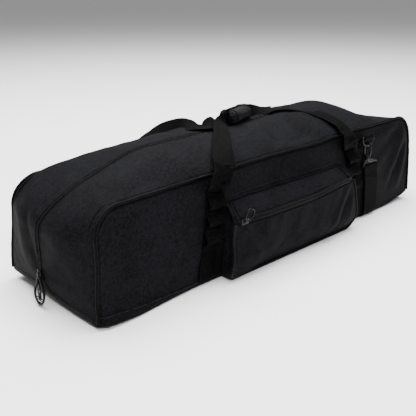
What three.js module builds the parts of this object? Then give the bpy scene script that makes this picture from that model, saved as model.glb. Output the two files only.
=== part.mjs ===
// Soft carry case for a telescope and its tripod: a padded fabric box with a zipped two-leaf top,
// a zipped front pocket, webbing handles with a hook-and-loop grip, and a clip-on shoulder strap.
// Millimetres. X runs along the case, -Y is the front with the pocket, +Z is up.
// The origin is the centre of the flat underside.
import * as THREE from 'three';
import { mergeVertices } from 'three/addons/utils/BufferGeometryUtils.js';

// ---- driving dimensions ---------------------------------------------------------------------
const LENGTH = 900; // between the pipings of the two ends
const DEPTH = 256; // front to back at the base
const PIPING_HEIGHT = 194; // height of the top pipings at mid length
const CROWN = 46; // the zip line stands this much above the top pipings
const SIDE_LEAN = 18; // each side leans in by this much at its top piping
const END_BULGE = 15; // the ends bow out by this much along the zip
const RISE_PER_MM = 0.05 / 450; // the top rises slightly towards the right end
const CORNER_RADIUS = 50; // top corners of the side panels
const SIDE_BULGE = 6; // the stuffed sides bow out by this much
const LOW_EDGE = 6; // the side and end panels start this far above the floor

const SKIN = 2; // outer fabric
const FOAM = 5; // foam and lining behind the side panels
const GUSSET = 5; // padded fabric of the ends and the top
const GAP = 0.3; // clearance between touching pieces
const PIPING_RADIUS = 2.4;
const ZIP_TAPE = 15; // half the width of the main zip
const WEBBING = 38; // width of the handle webbing
const WEBBING_THICK = 1.6;
const WEBBING_X = [-224, 217]; // where the two webbings cross the base
const WEBBING_TOP_X = [-199, 201]; // they lean inwards towards the handles
const WEBBING_TOP = 165; // the handles leave the side panels at this height
const STRAP = 50; // width of the shoulder strap
const STRAP_X = 276; // the strap crosses the base here
const STRAP_BACK_Y = 182; // it lies on the floor along this line behind the case
const RING_X = 252; // D-rings, front right and back left
const RING_Z = 184;
const RING_Y = 132;
const POCKET_LOW_HALF = 188; // half the length of the pocket at the floor
const POCKET_TOP_HALF = 166; // and at its top seam
const POCKET_SEAM = 137; // height of the seam above the pocket
const POCKET_ZIP = 107; // height of the pocket zip
const WRAP_LENGTH = 92;
const WRAP_YAW = 17.5 * Math.PI / 180; // the grip lies slightly across the case

// ---- helpers --------------------------------------------------------------------------------
const group = new THREE.Group();
const V = (x, y, z) => new THREE.Vector3(x, y, z);
const mix = (a, b, f) => a + (b - a) * f;

const MATERIALS = {
  polyester: { color: 0x242329, roughness: 0.85, metalness: 0 },
  lining: { color: 0x1b1b1e, roughness: 0.9, metalness: 0 },
  webbing: { color: 0x202022, roughness: 0.75, metalness: 0 },
  piping: { color: 0x1e1e22, roughness: 0.7, metalness: 0 },
  zip: { color: 0x18181a, roughness: 0.6, metalness: 0 },
  board: { color: 0x2b2b2b, roughness: 0.6, metalness: 0 },
  hardware: { color: 0x101012, roughness: 0.3, metalness: 0 },
  metal: { color: 0x2c2c30, roughness: 0.35, metalness: 0.8 },
  rubber: { color: 0x121214, roughness: 0.6, metalness: 0 },
};

function add(name, geometry, material) {
  const mesh = new THREE.Mesh(geometry, new THREE.MeshStandardMaterial(MATERIALS[material]));
  mesh.name = name;
  group.add(mesh);
  return mesh;
}

function welded(geometry) {
  geometry.deleteAttribute('normal');
  geometry.deleteAttribute('uv');
  return mergeVertices(geometry, 1e-5);
}

function signedVolume(geometry) {
  const at = geometry.attributes.position;
  const index = geometry.index;
  const corner = [V(0, 0, 0), V(0, 0, 0), V(0, 0, 0)];
  let total = 0;
  for (let i = 0; i < index.count; i += 3) {
    corner.forEach((c, k) => c.fromBufferAttribute(at, index.getX(i + k)));
    total += corner[0].dot(corner[1].clone().cross(corner[2]));
  }
  return total / 6;
}

// A box of unit size whose corners are moved to place(u, v, w), each from 0 to 1.
function bentBox(stepsU, stepsV, stepsW, place) {
  const geometry = welded(new THREE.BoxGeometry(1, 1, 1, stepsU, stepsV, stepsW));
  const at = geometry.attributes.position;
  for (let i = 0; i < at.count; i += 1) {
    const p = place(at.getX(i) + 0.5, at.getY(i) + 0.5, at.getZ(i) + 0.5);
    at.setXYZ(i, p.x, p.y, p.z);
  }
  if (signedVolume(geometry) < 0) {
    const index = geometry.index;
    for (let i = 0; i < index.count; i += 3) {
      const first = index.getX(i);
      index.setX(i, index.getX(i + 1));
      index.setX(i + 1, first);
    }
  }
  geometry.computeVertexNormals();
  return geometry;
}

// A flat strip along stations of { p: centre, w: direction of its width, width }.
function ribbon(stations, thick, steps) {
  const centre = new THREE.CatmullRomCurve3(stations.map((s) => V(...s.p)), false, 'centripetal');
  const across = stations.map((s) => V(...s.w).normalize());
  const widths = stations.map((s) => s.width ?? WEBBING);
  const last = stations.length - 1;
  return bentBox(steps, 1, 1, (u, v, w) => {
    const k = Math.min(last - 1, Math.floor(u * last));
    const f = u * last - k;
    const side = across[k].clone().lerp(across[k + 1], f).normalize();
    const tangent = centre.getTangent(u);
    side.addScaledVector(tangent, -side.dot(tangent)).normalize();
    const normal = tangent.clone().cross(side);
    const width = mix(widths[k], widths[k + 1], f);
    return centre.getPoint(u).addScaledVector(side, (v - 0.5) * width)
      .addScaledVector(normal, (w - 0.5) * thick);
  });
}

// A round bar along a curve.
function bar(curve, radius, steps, sides = 8) {
  const section = new THREE.Shape();
  section.absarc(0, 0, radius, 0, 2 * Math.PI);
  const geometry = new THREE.ExtrudeGeometry(section, {
    steps, curveSegments: sides / 2, extrudePath: curve,
  });
  return welded(geometry);
}

// A plate: an outline in the XZ plane, thick along Y, centred on y = 0.
function plate(shape, thick, bevel = 0, curveSegments = 6) {
  const geometry = new THREE.ExtrudeGeometry(shape, {
    depth: thick - 2 * bevel,
    bevelEnabled: bevel > 0,
    bevelThickness: bevel,
    bevelSize: bevel,
    bevelOffset: -bevel,
    bevelSegments: 1,
    curveSegments,
  });
  geometry.translate(0, 0, bevel - thick / 2);
  geometry.rotateX(Math.PI / 2);
  return welded(geometry);
}

function polygon(points) {
  return new THREE.Shape(points.map(([x, y]) => new THREE.Vector2(x, y)));
}

function roundedRect(x0, y0, x1, y1, r) {
  const shape = new THREE.Shape();
  shape.absarc(x1 - r, y0 + r, r, -Math.PI / 2, 0);
  shape.absarc(x1 - r, y1 - r, r, 0, Math.PI / 2);
  shape.absarc(x0 + r, y1 - r, r, Math.PI / 2, Math.PI);
  shape.absarc(x0 + r, y0 + r, r, Math.PI, 1.5 * Math.PI);
  shape.closePath();
  return shape;
}

// ---- the outer surface of the case ----------------------------------------------------------
const tilt = (x) => 1 + RISE_PER_MM * x;
const halfDepth = (z) => DEPTH / 2 - SIDE_LEAN * (Math.max(z, 0) / 200) ** 1.5;
const pressed = (x) => 5 * Math.exp(-((x / 110) ** 2)); // the grip presses the crown down

// A point of the gusset outline: q goes from 0 (left end, low) over the top to 1 (right end, low).
// crown is 0 on a piping and 1 on the zip line. Corners are quarter superellipses.
function outline(q, crown) {
  const side = q < 0.5 ? -1 : 1;
  const k = Math.min(q, 1 - q);
  const run = mix(CORNER_RADIUS, 230, crown);
  const drop = mix(CORNER_RADIUS, 106, crown);
  const power = 2 / mix(2, 1.75, crown);
  const end = LENGTH / 2 + END_BULGE * crown;
  const top = PIPING_HEIGHT + CROWN * crown;
  let x = end;
  let z = mix(LOW_EDGE, top - drop, k / 0.2);
  if (k > 0.4) {
    x = (end - run) * (1 - (k - 0.4) / 0.1);
    z = top;
  } else if (k > 0.2) {
    const angle = ((k - 0.2) / 0.2) * Math.PI / 2;
    x = end - run * (1 - Math.cos(angle) ** power);
    z = top - drop + drop * Math.sin(angle) ** power;
  }
  x *= side;
  return { x, z: z * tilt(x) - pressed(x) * crown };
}

const halfWidth = (q) => halfDepth(outline(q, 0).z) - 0.2;

function gussetSurface(q, y) {
  const t = y / halfWidth(q);
  const at = outline(q, 1 - t * t);
  return V(at.x, y, at.z);
}

// The same, moved inwards along the surface's own normal.
function gussetInside(q, y, depth) {
  const step = 0.002;
  const q0 = Math.max(q - step, 0);
  const q1 = Math.min(q + step, 1);
  const along = gussetSurface(q1, y).sub(gussetSurface(q0, y));
  const across = gussetSurface(q, y + 0.5).sub(gussetSurface(q, y - 0.5));
  const outward = across.cross(along).normalize().negate();
  return gussetSurface(q, y).addScaledVector(outward, -depth);
}

// Height of the closed top above a point of the plan.
function topHeight(x, y) {
  const t = y / halfWidth(0.5);
  const crown = Math.max(0, 1 - t * t);
  return (PIPING_HEIGHT + CROWN * crown) * tilt(x) - pressed(x) * crown;
}

// A side panel's outer face, as a distance from the middle plane.
function sideFace(x, z) {
  const top = sideTop(x, 0);
  const f = THREE.MathUtils.clamp((z - LOW_EDGE) / (top - LOW_EDGE), 0, 1);
  const swell = SIDE_BULGE * Math.sin(Math.PI * f) ** 0.8 * (1 - (x / (LENGTH / 2)) ** 6);
  const tuck = z < 20 ? 5 * (1 - z / 20) ** 2 : 0;
  return halfDepth(z) + Math.max(swell, 0) - tuck;
}

const INSET = GUSSET + 1.4; // side panels end under the gussets

// Height of a side panel's top edge at x, inset from the gusset by a margin.
function sideTop(x, inset) {
  const r = CORNER_RADIUS - inset;
  const flat = LENGTH / 2 - CORNER_RADIUS;
  const past = Math.max(0, Math.abs(x) - flat);
  const arc = Math.sqrt(Math.max(0, r * r - past * past));
  return (PIPING_HEIGHT - CORNER_RADIUS + arc) * tilt(x);
}

const PANEL_ROWS = 8;

// A layer of a side, between two depths, from one of the panel's rows up to the top.
function sidePanel(side, firstRow, from, to) {
  const end = LENGTH / 2 - INSET;
  return bentBox(22, PANEL_ROWS - firstRow, 1, (u, v, w) => {
    const turned = Math.sin((u - 0.5) * Math.PI); // columns gather towards the round corners
    const x = end * mix((u - 0.5) * 2, turned, 0.7);
    const z = mix(LOW_EDGE, sideTop(x, INSET), mix(firstRow / PANEL_ROWS, 1, v));
    return V(x, side * (sideFace(x, z) - mix(from, to, w)), z);
  });
}

// ---- shell ----------------------------------------------------------------------------------
const BASE_HALF = 119;

function basePanel() {
  const half = LENGTH / 2 - 5;
  const groove = 2.6;
  const slots = [
    [WEBBING_X[0], WEBBING / 2 + 2],
    [WEBBING_X[1], WEBBING / 2 + 2],
    [STRAP_X, STRAP / 2 + 2],
  ];
  const points = [[-half, 0]];
  for (const [x, w] of slots) {
    points.push([x - w, 0], [x - w, groove], [x + w, groove], [x + w, 0]);
  }
  points.push([half, 0], [half, 5], [-half, 5]);
  return plate(polygon(points), 2 * BASE_HALF);
}

add('base_panel', basePanel(), 'polyester');
add('base_board', new THREE.BoxGeometry(850, 226, 3).translate(0, 0, 6.9), 'board');

for (const [name, side] of [['front', -1], ['back', 1]]) {
  add(`${name}_panel`, sidePanel(side, 0, 0, SKIN), 'polyester');
  const behind = SKIN + GAP;
  add(`${name}_liner`, sidePanel(side, 1, behind, behind + FOAM), 'lining');
}

// A part of the end and top gusset, between two stations and two distances from the zip.
// taper shortens it by that much at both ends on the piping side.
function gussetPart(q0, q1, side, near, far, out, deep, steps, rows, taper = 0) {
  return bentBox(steps, rows, 1, (u, v, w) => {
    const q = mix(q0 + taper * v, q1 - taper * v, u);
    const edge = far > 0 ? far : halfWidth(q);
    return gussetInside(q, side * mix(near, edge, v), mix(out, deep, w));
  });
}

const FLAP_START = 0.2 + 0.2 * (60 / 90); // the leaves start 60 degrees round the corners
const SPLIT = 0.004; // gap between a leaf and the ends
const LEAF_TAPER = 0.016; // the leaves are this much shorter at the piping, so that they turn freely
for (const [name, side] of [['front', -1], ['back', 1]]) {
  const tape = ZIP_TAPE + GAP;
  const leaf = FLAP_START + SPLIT;
  const parts = [
    [`end_left_${name}`, `zip_left_${name}`, 0, FLAP_START, 12, 0],
    [`end_right_${name}`, `zip_right_${name}`, 1 - FLAP_START, 1, 12, 0],
    [`top_flap_${name}`, `zip_top_${name}`, leaf, 1 - leaf, 20, LEAF_TAPER],
  ];
  for (const [panel, zip, q0, q1, steps, taper] of parts) {
    add(panel, gussetPart(q0, q1, side, tape, 0, 0, GUSSET, steps, 4, taper), 'polyester');
    add(zip, gussetPart(q0, q1, side, GAP, ZIP_TAPE, 0.6, 2.6, steps, 1), 'zip');
  }
}

// Piping round the top and ends of each side panel.
for (const [name, side] of [['front', -1], ['back', 1]]) {
  const points = [];
  for (let i = 0; i <= 40; i += 1) {
    const q = i / 40;
    const at = outline(q, 0);
    points.push(V(at.x, side * (halfDepth(at.z) + PIPING_RADIUS + 0.4), at.z));
  }
  const curve = new THREE.CatmullRomCurve3(points, false, 'centripetal');
  add(`piping_${name}`, bar(curve, PIPING_RADIUS, 56), 'piping');
}

// Bound edge of the base, turned up along the foot of each end.
for (const [name, q] of [['left', 0], ['right', 1]]) {
  const half = 112;
  add(`end_binding_${name}`, bentBox(1, 16, 1, (u, v, w) => {
    const y = mix(-half, half, v);
    const at = gussetInside(q, y, mix(-0.4, -2, w));
    return V(at.x, y, mix(1, 13, u));
  }), 'webbing');
}

// ---- webbings round the case ------------------------------------------------------------------
// Each is one length: down the back from its handle, under the base and up the front again.
const WEBBING_PROUD = 2.1; // its middle layer stands this far off the panel
const HANDLE_OVER = 4.5; // the handles cross the pipings this much above them
const CROSSING_Y = 117.5;
const CROSSING_X = { front: [-189, 192], back: [-205, 192] };

function webbingX(index, z) {
  const f = THREE.MathUtils.clamp((z - 40) / (WEBBING_TOP - 40), 0, 1);
  return mix(WEBBING_X[index], WEBBING_TOP_X[index], f);
}

const crossing = (index, name) => {
  const x = CROSSING_X[name][index];
  return [x, (name === 'front' ? -1 : 1) * CROSSING_Y, topHeight(x, 110) + HANDLE_OVER];
};

// Stations from under the base up to the piping on one side.
function webbingRise(index, name) {
  const side = name === 'front' ? -1 : 1;
  const x = WEBBING_X[index];
  const w = [1, 0, 0];
  const stations = [
    { p: [x, side * 112, 1.4], w },
    { p: [x, side * 118, 1.5], w },
    { p: [x, side * 126.4, 5], w },
    { p: [x, side * 129.2, 13], w },
  ];
  for (let z = 24; z <= WEBBING_TOP; z += 9.4) {
    const at = webbingX(index, z);
    stations.push({ p: [at, side * (sideFace(at, z) + WEBBING_PROUD), z], w });
  }
  const end = crossing(index, name);
  const foot = WEBBING_TOP_X[index];
  stations.push(
    { p: [mix(foot, end[0], 0.6), side * 122.5, 170], w },
    { p: [end[0], side * 122.5, 175], w },
  );
  return stations;
}

['left', 'right'].forEach((name, index) => {
  const stations = [...webbingRise(index, 'back').reverse(), ...webbingRise(index, 'front')];
  add(`webbing_${name}`, ribbon(stations, WEBBING_THICK, 88), 'webbing');
});

// ---- handles --------------------------------------------------------------------------------
// Each handle crosses its piping twice and lies over the top, gathered in the grip.
const WRAP_CENTRE = V(-8, 0, 253);
const wrapAxis = V(Math.cos(WRAP_YAW), Math.sin(WRAP_YAW), 0);
const wrapSide = V(-Math.sin(WRAP_YAW), Math.cos(WRAP_YAW), 0);
const inWrap = (along, off) => WRAP_CENTRE.clone()
  .addScaledVector(wrapAxis, along).addScaledVector(wrapSide, off).toArray();

// A station lying flat over the closed top, raised by up, its width along (wx, wy) in plan.
function over(x, y, up, wx, wy) {
  const rise = topHeight(x + wx / 2, y + wy / 2) - topHeight(x - wx / 2, y - wy / 2);
  return { p: [x, y, topHeight(x, y) + up], w: [wx, wy, rise] };
}

// Where a handle's webbing narrows and turns on edge beside the grip.
const beside = (x, y, wx, wy) => ({
  p: [x, y, topHeight(x, y) + 14], w: [wx, wy, -10], width: 28,
});

function handle(name) {
  const side = name === 'front' ? -1 : 1;
  const [left, right] = [0, 1].map((index) => crossing(index, name));
  const legs = {
    front: [
      [over(-183, -104, 6, 37, -6), over(-162, -86, 5, 34, -18), over(-136, -68, 6, 29, -25),
        over(-104, -44, 9, 25, -28), beside(-78, -28, 8, -12)],
      [beside(66, 6, -2, -10), over(98, -2, 9, -14, -34), over(144, -32, 7, -28, -26),
        over(176, -82, 6, -35, -13)],
    ],
    back: [
      [over(-194, 102, 14, 32, 18), over(-165, 83, 15, 22, 30), over(-134, 62, 16, 18, 30),
        over(-104, 40, 13, 20, 26), beside(-78, 18, 8, 12)],
      [beside(66, 34, -4, 12), over(104, 50, 8, -19, 32), over(146, 74, 6, -25, 28),
        over(174, 97, 6, -32, 19)],
    ],
  }[name];
  const core = { w: [0, 0, -1], width: 22 };
  const grip = [-50, -30, 0, 30, 50].map((along) => ({ p: inWrap(along, side * 2.4), ...core }));
  const rise = ([x, y, z]) => ({ p: [x, y, z + 7], w: [-x, 0, 0] });
  return ribbon([
    { p: left, w: [-left[0], 0, 0] }, rise(left),
    ...legs[0], ...grip, ...legs[1],
    rise(right), { p: right, w: [-right[0], 0, 0] },
  ], WEBBING_THICK, 68);
}

function wrapHalf(side) {
  const shape = new THREE.Shape(); // x across the grip, y up, about the grip's centre
  shape.moveTo(0.3, -15);
  shape.lineTo(13, -15);
  shape.absarc(13, -6, 9, -Math.PI / 2, 0);
  shape.lineTo(22, 4);
  shape.absarc(11, 4, 11, 0, Math.PI / 2);
  shape.lineTo(0.3, 15);
  shape.lineTo(0.3, 12.5);
  shape.lineTo(5.4, 12.5);
  shape.lineTo(5.4, -12.5);
  shape.lineTo(0.3, -12.5);
  shape.closePath();
  const geometry = new THREE.ExtrudeGeometry(shape, {
    depth: WRAP_LENGTH, bevelEnabled: false, curveSegments: 5,
  });
  geometry.translate(0, 0, -WRAP_LENGTH / 2);
  geometry.rotateX(Math.PI / 2); // shape's y becomes +Z, the length runs along Y
  geometry.rotateZ(side * Math.PI / 2 + WRAP_YAW);
  geometry.translate(...WRAP_CENTRE.toArray());
  return welded(geometry);
}

for (const [name, side] of [['front', -1], ['back', 1]]) {
  add(`handle_${name}`, handle(name), 'webbing');
  add(`grip_wrap_${name}`, wrapHalf(side), 'polyester');
}

// ---- main zip sliders at the left end --------------------------------------------------------
const END_X = LENGTH / 2 + END_BULGE;

function placed(geometry, x, y, z) {
  return geometry.translate(x, y, z);
}

function sliderBody() {
  const width = 9;
  const plateUp = 2.2; // a plate lies on the zip
  const bridgeUp = 4.4; // and a bridge over its middle carries the pull
  const profile = polygon([
    [0, -8], [plateUp, -8], [plateUp, -3], [bridgeUp, -1.6],
    [bridgeUp, 4.6], [plateUp, 7], [plateUp, 9], [0, 9],
  ]);
  const geometry = new THREE.ExtrudeGeometry(profile, { depth: width, bevelEnabled: false });
  geometry.rotateX(Math.PI / 2);
  geometry.translate(0, width / 2, 0);
  geometry.rotateZ(Math.PI);
  return welded(geometry);
}

add('main_slider', placed(sliderBody(), -END_X - 0.4, 0, 54), 'metal');
add('main_slider_lower', placed(sliderBody(), -END_X - 0.4, 0, 33.5), 'metal');

// Omega-shaped pull: two arms from the slider widening into a round grip.
function omegaPull() {
  const arms = [
    V(0, 3, 0), V(0, 7, -10), V(-1, 14, -23), V(-2, 13.5, -35), V(-3, 7, -42.5),
    V(-3.3, 0, -44.5),
    V(-3, -7, -42.5), V(-2, -13.5, -35), V(-1, -14, -23), V(0, -7, -10), V(0, -3, 0),
  ];
  return bar(new THREE.CatmullRomCurve3(arms, false, 'centripetal'), 1.8, 36);
}

add('main_pull', placed(omegaPull(), -END_X - 9, 0, 50), 'rubber');

function tonguePull(length) {
  const shape = roundedRect(-4, -length, 4, 2, 2.5);
  const hole = new THREE.Path();
  hole.absarc(0, -length + 5, 2, 0, 2 * Math.PI, true);
  shape.holes.push(hole);
  const geometry = plate(shape, 1.4);
  geometry.rotateZ(Math.PI / 2);
  return geometry;
}

add('main_pull_lower', placed(tonguePull(20), -END_X - 6.4, 0, 30), 'metal');

// ---- pocket ---------------------------------------------------------------------------------
// Outer face of the pocket, as a distance from the middle plane.
function pocketFace(x, z) {
  const f = THREE.MathUtils.clamp(z / 45, 0, 1);
  const across = 1 - (x / POCKET_LOW_HALF) ** 4;
  return 145 + 16 * Math.sin(f * Math.PI / 2) + 3 * Math.sin(Math.PI * f / 2) * across;
}

const pocketHalf = (z) => mix(POCKET_LOW_HALF, POCKET_TOP_HALF, z / POCKET_SEAM);
const pocketIn = (z) => pocketHalf(z) - 2.8; // the face and the flap run between the side walls

add('pocket_front', bentBox(16, 8, 1, (u, v, w) => {
  const z = mix(4, POCKET_ZIP - 5.3, v);
  const x = mix(-pocketIn(z), pocketIn(z), u);
  return V(x, -pocketFace(x, z) + mix(0, SKIN, w), z);
}), 'polyester');

add('pocket_zip_lower', bentBox(16, 1, 1, (u, v, w) => {
  const z = mix(POCKET_ZIP - 5, POCKET_ZIP - 0.3, v);
  const x = mix(-pocketIn(z), pocketIn(z), u);
  return V(x, -pocketFace(x, z) + mix(0, SKIN, w), z);
}), 'zip');

// Upper leaf: the zip's upper tape and the sloping cover, hinged at the seam.
add('pocket_flap', bentBox(16, 6, 1, (u, v, w) => {
  const z = mix(POCKET_ZIP + 0.3, POCKET_SEAM, v);
  const x = mix(-pocketIn(z), pocketIn(z), u);
  const out = mix(pocketFace(x, POCKET_ZIP), sideFace(x, POCKET_SEAM) + 0.9 + SKIN, v);
  const arch = 3 * Math.sin(Math.PI * v);
  return V(x, -out - arch + mix(0, SKIN, w), z);
}), 'polyester');

for (const [name, side] of [['left', -1], ['right', 1]]) {
  add(`pocket_side_${name}`, bentBox(1, 10, 5, (u, v, w) => {
    const z = mix(16, POCKET_SEAM - 6, v);
    const x = side * mix(pocketIn(z) + GAP, pocketHalf(z), u);
    const slope = Math.max(0, (z - POCKET_ZIP) / (POCKET_SEAM - POCKET_ZIP));
    const outer = mix(pocketFace(pocketHalf(z), z), sideFace(x, z) + 3, slope);
    return V(x, -mix(sideFace(x, z) + 0.5, outer, w), z);
  }), 'polyester');
}

const POCKET_FLOOR = 172; // the bottom stops short of the rounded lower corners
add('pocket_bottom', bentBox(16, 1, 1, (u, v, w) => {
  const x = mix(-POCKET_FLOOR, POCKET_FLOOR, u);
  return V(x, -mix(sideFace(x, 3) + 1.5, pocketFace(x, 3) - 0.5, w), mix(1.4, 3.6, v));
}), 'polyester');

// Piping down one side of the pocket's face, along the floor and up the other side.
function pocketPiping() {
  const points = [];
  for (const z of [103, 80, 55, 32, 20]) {
    const x = pocketHalf(z) + 2.8;
    points.push(V(-x, -pocketFace(x, z) + 1, z));
  }
  points.push(V(-187, -pocketFace(184, 10) - 2.4, 10), V(-178, -pocketFace(176, 3) - 2.8, 4));
  points.push(V(-160, -pocketFace(150, 3) - 3, 2.4));
  points.push(V(-80, -pocketFace(80, 3) - 3, 2.2), V(0, -pocketFace(0, 3) - 3, 2.2));
  const mirrored = points.slice(0, -1).reverse().map((p) => V(-p.x, p.y, p.z));
  return bar(new THREE.CatmullRomCurve3([...points, ...mirrored], false, 'centripetal'), 1.6, 50);
}

add('pocket_piping', pocketPiping(), 'piping');

function pocketSlider() {
  const geometry = sliderBody();
  geometry.rotateX(Math.PI / 2);
  geometry.rotateZ(Math.PI / 2);
  return geometry;
}

const POCKET_SLIDER = V(-pocketHalf(POCKET_ZIP) + 8, -pocketFace(0, POCKET_ZIP) - 0.5, POCKET_ZIP);
add('pocket_slider', placed(pocketSlider(), ...POCKET_SLIDER.toArray()), 'metal');

function pocketPull() {
  const points = [
    V(0, 0, 1.5), V(-4, -1, 6), V(-5, -3, 16), V(2, -4, 23), V(10, -4, 22), V(14, -3, 14),
    V(9, -1, 5), V(3.4, 0, 1.5),
  ];
  return bar(new THREE.CatmullRomCurve3(points, false, 'centripetal'), 1.6, 28);
}

add('pocket_pull', placed(pocketPull(), POCKET_SLIDER.x - 1.7, POCKET_SLIDER.y - 7.6,
  POCKET_SLIDER.z + 1), 'rubber');

// ---- D-rings, snap hooks and their swivel loops ----------------------------------------------
// Modelled for the front right corner; the back left set is the same, turned half round.
const RING_DROP = 21;
const HOOK_TOP = RING_Z - RING_DROP + 8.4;

function ringTab() {
  const bar = 2.9; // room for the ring's straight bar
  const wall = 1.7;
  const foot = RING_Z - 26;
  const inner = sideFace(RING_X, foot) + 0.7;
  const shape = new THREE.Shape(); // x is the depth axis, y is up
  shape.absarc(-RING_Y, RING_Z, bar + wall, -0.25 * Math.PI, 1.25 * Math.PI, false);
  shape.lineTo(-RING_Y + 0.6, RING_Z - 5);
  shape.lineTo(-RING_Y + 9, RING_Z - 9);
  shape.lineTo(-inner - 1.8, foot);
  shape.lineTo(-inner, foot);
  shape.lineTo(-RING_Y + 11, RING_Z - 8.2);
  shape.closePath();
  const hole = new THREE.Path();
  hole.absarc(-RING_Y, RING_Z, bar, 0, 2 * Math.PI, true);
  shape.holes.push(hole);
  const geometry = new THREE.ExtrudeGeometry(shape, {
    depth: 32, bevelEnabled: false, curveSegments: 6,
  });
  geometry.rotateX(Math.PI / 2);
  geometry.rotateZ(Math.PI / 2);
  geometry.translate(RING_X - 16, 0, 0);
  return welded(geometry);
}

function dRing() {
  const shape = new THREE.Shape();
  const half = 21.5;
  shape.moveTo(-half, 1.8);
  shape.lineTo(-half, -6);
  shape.quadraticCurveTo(-half, -RING_DROP, 0, -RING_DROP);
  shape.quadraticCurveTo(half, -RING_DROP, half, -6);
  shape.lineTo(half, 1.8);
  shape.closePath();
  const hole = new THREE.Path();
  const inner = half - 3.6;
  hole.moveTo(-inner, -1.8);
  hole.lineTo(inner, -1.8);
  hole.lineTo(inner, -6);
  hole.quadraticCurveTo(inner, -RING_DROP + 3.6, 0, -RING_DROP + 3.6);
  hole.quadraticCurveTo(-inner, -RING_DROP + 3.6, -inner, -6);
  hole.closePath();
  shape.holes.push(hole);
  return plate(shape, 3.4, 0, 8).translate(RING_X, -RING_Y, RING_Z);
}

// The hook's frame stands across the ring: x is the depth axis, y is up from the hook's middle.
function hookFrame() {
  const shape = new THREE.Shape();
  shape.moveTo(-3, -17);
  shape.lineTo(5, -17);
  shape.quadraticCurveTo(9.5, -15, 9.5, -8);
  shape.lineTo(9.5, 8);
  shape.quadraticCurveTo(9.5, 16, 0.5, 16);
  shape.quadraticCurveTo(-8.5, 16, -8.5, 8);
  shape.lineTo(-5.2, 7);
  shape.quadraticCurveTo(-5, 12.4, 0.5, 12.4);
  shape.quadraticCurveTo(6, 12.4, 6, 7);
  shape.lineTo(6, -8);
  shape.lineTo(2, -12);
  shape.lineTo(-3, -12);
  shape.closePath();
  return shape;
}

function hookBody() {
  const geometry = new THREE.ExtrudeGeometry(hookFrame(), {
    depth: 6, bevelEnabled: false, curveSegments: 5,
  });
  geometry.rotateX(Math.PI / 2);
  geometry.rotateZ(Math.PI / 2);
  geometry.translate(RING_X - 2, -RING_Y - 0.5, HOOK_TOP - 16);
  return welded(geometry);
}

function hookGate() {
  const geometry = new THREE.ExtrudeGeometry(
    polygon([[-8.5, -17], [-3.4, -17], [-3.4, -11.6], [-5.2, -10], [-5.2, 6.4], [-8.5, 6.4]]),
    { depth: 5, bevelEnabled: false },
  );
  geometry.rotateX(Math.PI / 2);
  geometry.rotateZ(Math.PI / 2);
  geometry.translate(RING_X - 1.5, -RING_Y - 0.5, HOOK_TOP - 16);
  return welded(geometry);
}

const EYE_Z = HOOK_TOP - 16 - 17.4; // top of the swivel eye, just under the hook
const EYE_LOW = EYE_Z - 22; // its lower bar carries the strap
const EYE_SHIFT = 13; // the strap pulls it towards the right end

function swivelEye() {
  const shape = polygon([[-5, 0], [5, 0], [10, -4], [EYE_SHIFT + 27, -13], [EYE_SHIFT + 27, -22],
    [EYE_SHIFT - 27, -22], [EYE_SHIFT - 27, -13], [-8, -4]]);
  const hole = [[-24, -14.4], [-24, -18.2], [24, -18.2], [24, -14.4]];
  shape.holes.push(new THREE.Path(hole.map(([x, y]) => new THREE.Vector2(x + EYE_SHIFT, y))));
  return plate(shape, 4).translate(RING_X + 1, -RING_Y - 1, EYE_Z);
}

// ---- shoulder strap ---------------------------------------------------------------------------
// One end hangs from the front right hook, passes under the case and folds to the left behind
// it; it lies flat on the floor and folds again up to the back left hook.
function strapDrop(lean) {
  const x = RING_X + 1 + EYE_SHIFT;
  const y = -RING_Y - 1;
  const w = [1, 0, 0];
  const at = (px, py, z) => ({ p: [px, py, z], w, width: STRAP });
  return [
    at(x, y + 0.5, EYE_LOW - 1.2), at(x, y - 3, EYE_LOW - 8), at(mix(x, STRAP_X, 0.5), y - 4, 60),
    at(STRAP_X, y - 3.5, 18), ...lean,
  ];
}

const flat = (x, y) => ({ p: [x, y, 1.3], w: [1, 0, 0], width: STRAP });
const strapTurn = (y, z) => ({ p: [STRAP_X, y, z], w: [1, 0, 0], width: STRAP });
const FOLD = STRAP_BACK_Y + STRAP / 2;

const strapFront = () => ribbon(strapDrop([
  strapTurn(-RING_Y - 1.5, 7), strapTurn(-RING_Y + 3, 2.6),
  flat(STRAP_X, -122), flat(STRAP_X, -112), flat(STRAP_X, -60), flat(STRAP_X, 60),
  flat(STRAP_X, FOLD),
]), WEBBING_THICK, 40);

const strapLeft = () => ribbon(strapDrop([
  strapTurn(-RING_Y - 6, 7), strapTurn(-RING_Y - 12, 2.6),
  flat(STRAP_X, -RING_Y - 20), flat(STRAP_X, -RING_Y - 30), flat(STRAP_X, -FOLD),
]), WEBBING_THICK, 24);

function turned(geometry) {
  return geometry.rotateZ(Math.PI);
}

for (const [name, turn] of [['front', (g) => g], ['back', turned]]) {
  add(`ring_tab_${name}`, turn(ringTab()), 'webbing');
  add(`d_ring_${name}`, turn(dRing()), 'hardware');
  add(`snap_hook_${name}`, turn(hookBody()), 'hardware');
  add(`hook_gate_${name}`, turn(hookGate()), 'hardware');
  add(`swivel_eye_${name}`, turn(swivelEye()), 'hardware');
}

add('strap_front', strapFront(), 'webbing');
add('strap_left', turned(strapLeft()), 'webbing');
const strapBack = new THREE.BoxGeometry(2 * (STRAP_X + STRAP / 2), STRAP, WEBBING_THICK);
add('strap_back', strapBack.translate(0, STRAP_BACK_Y, 3.3), 'webbing');

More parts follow.
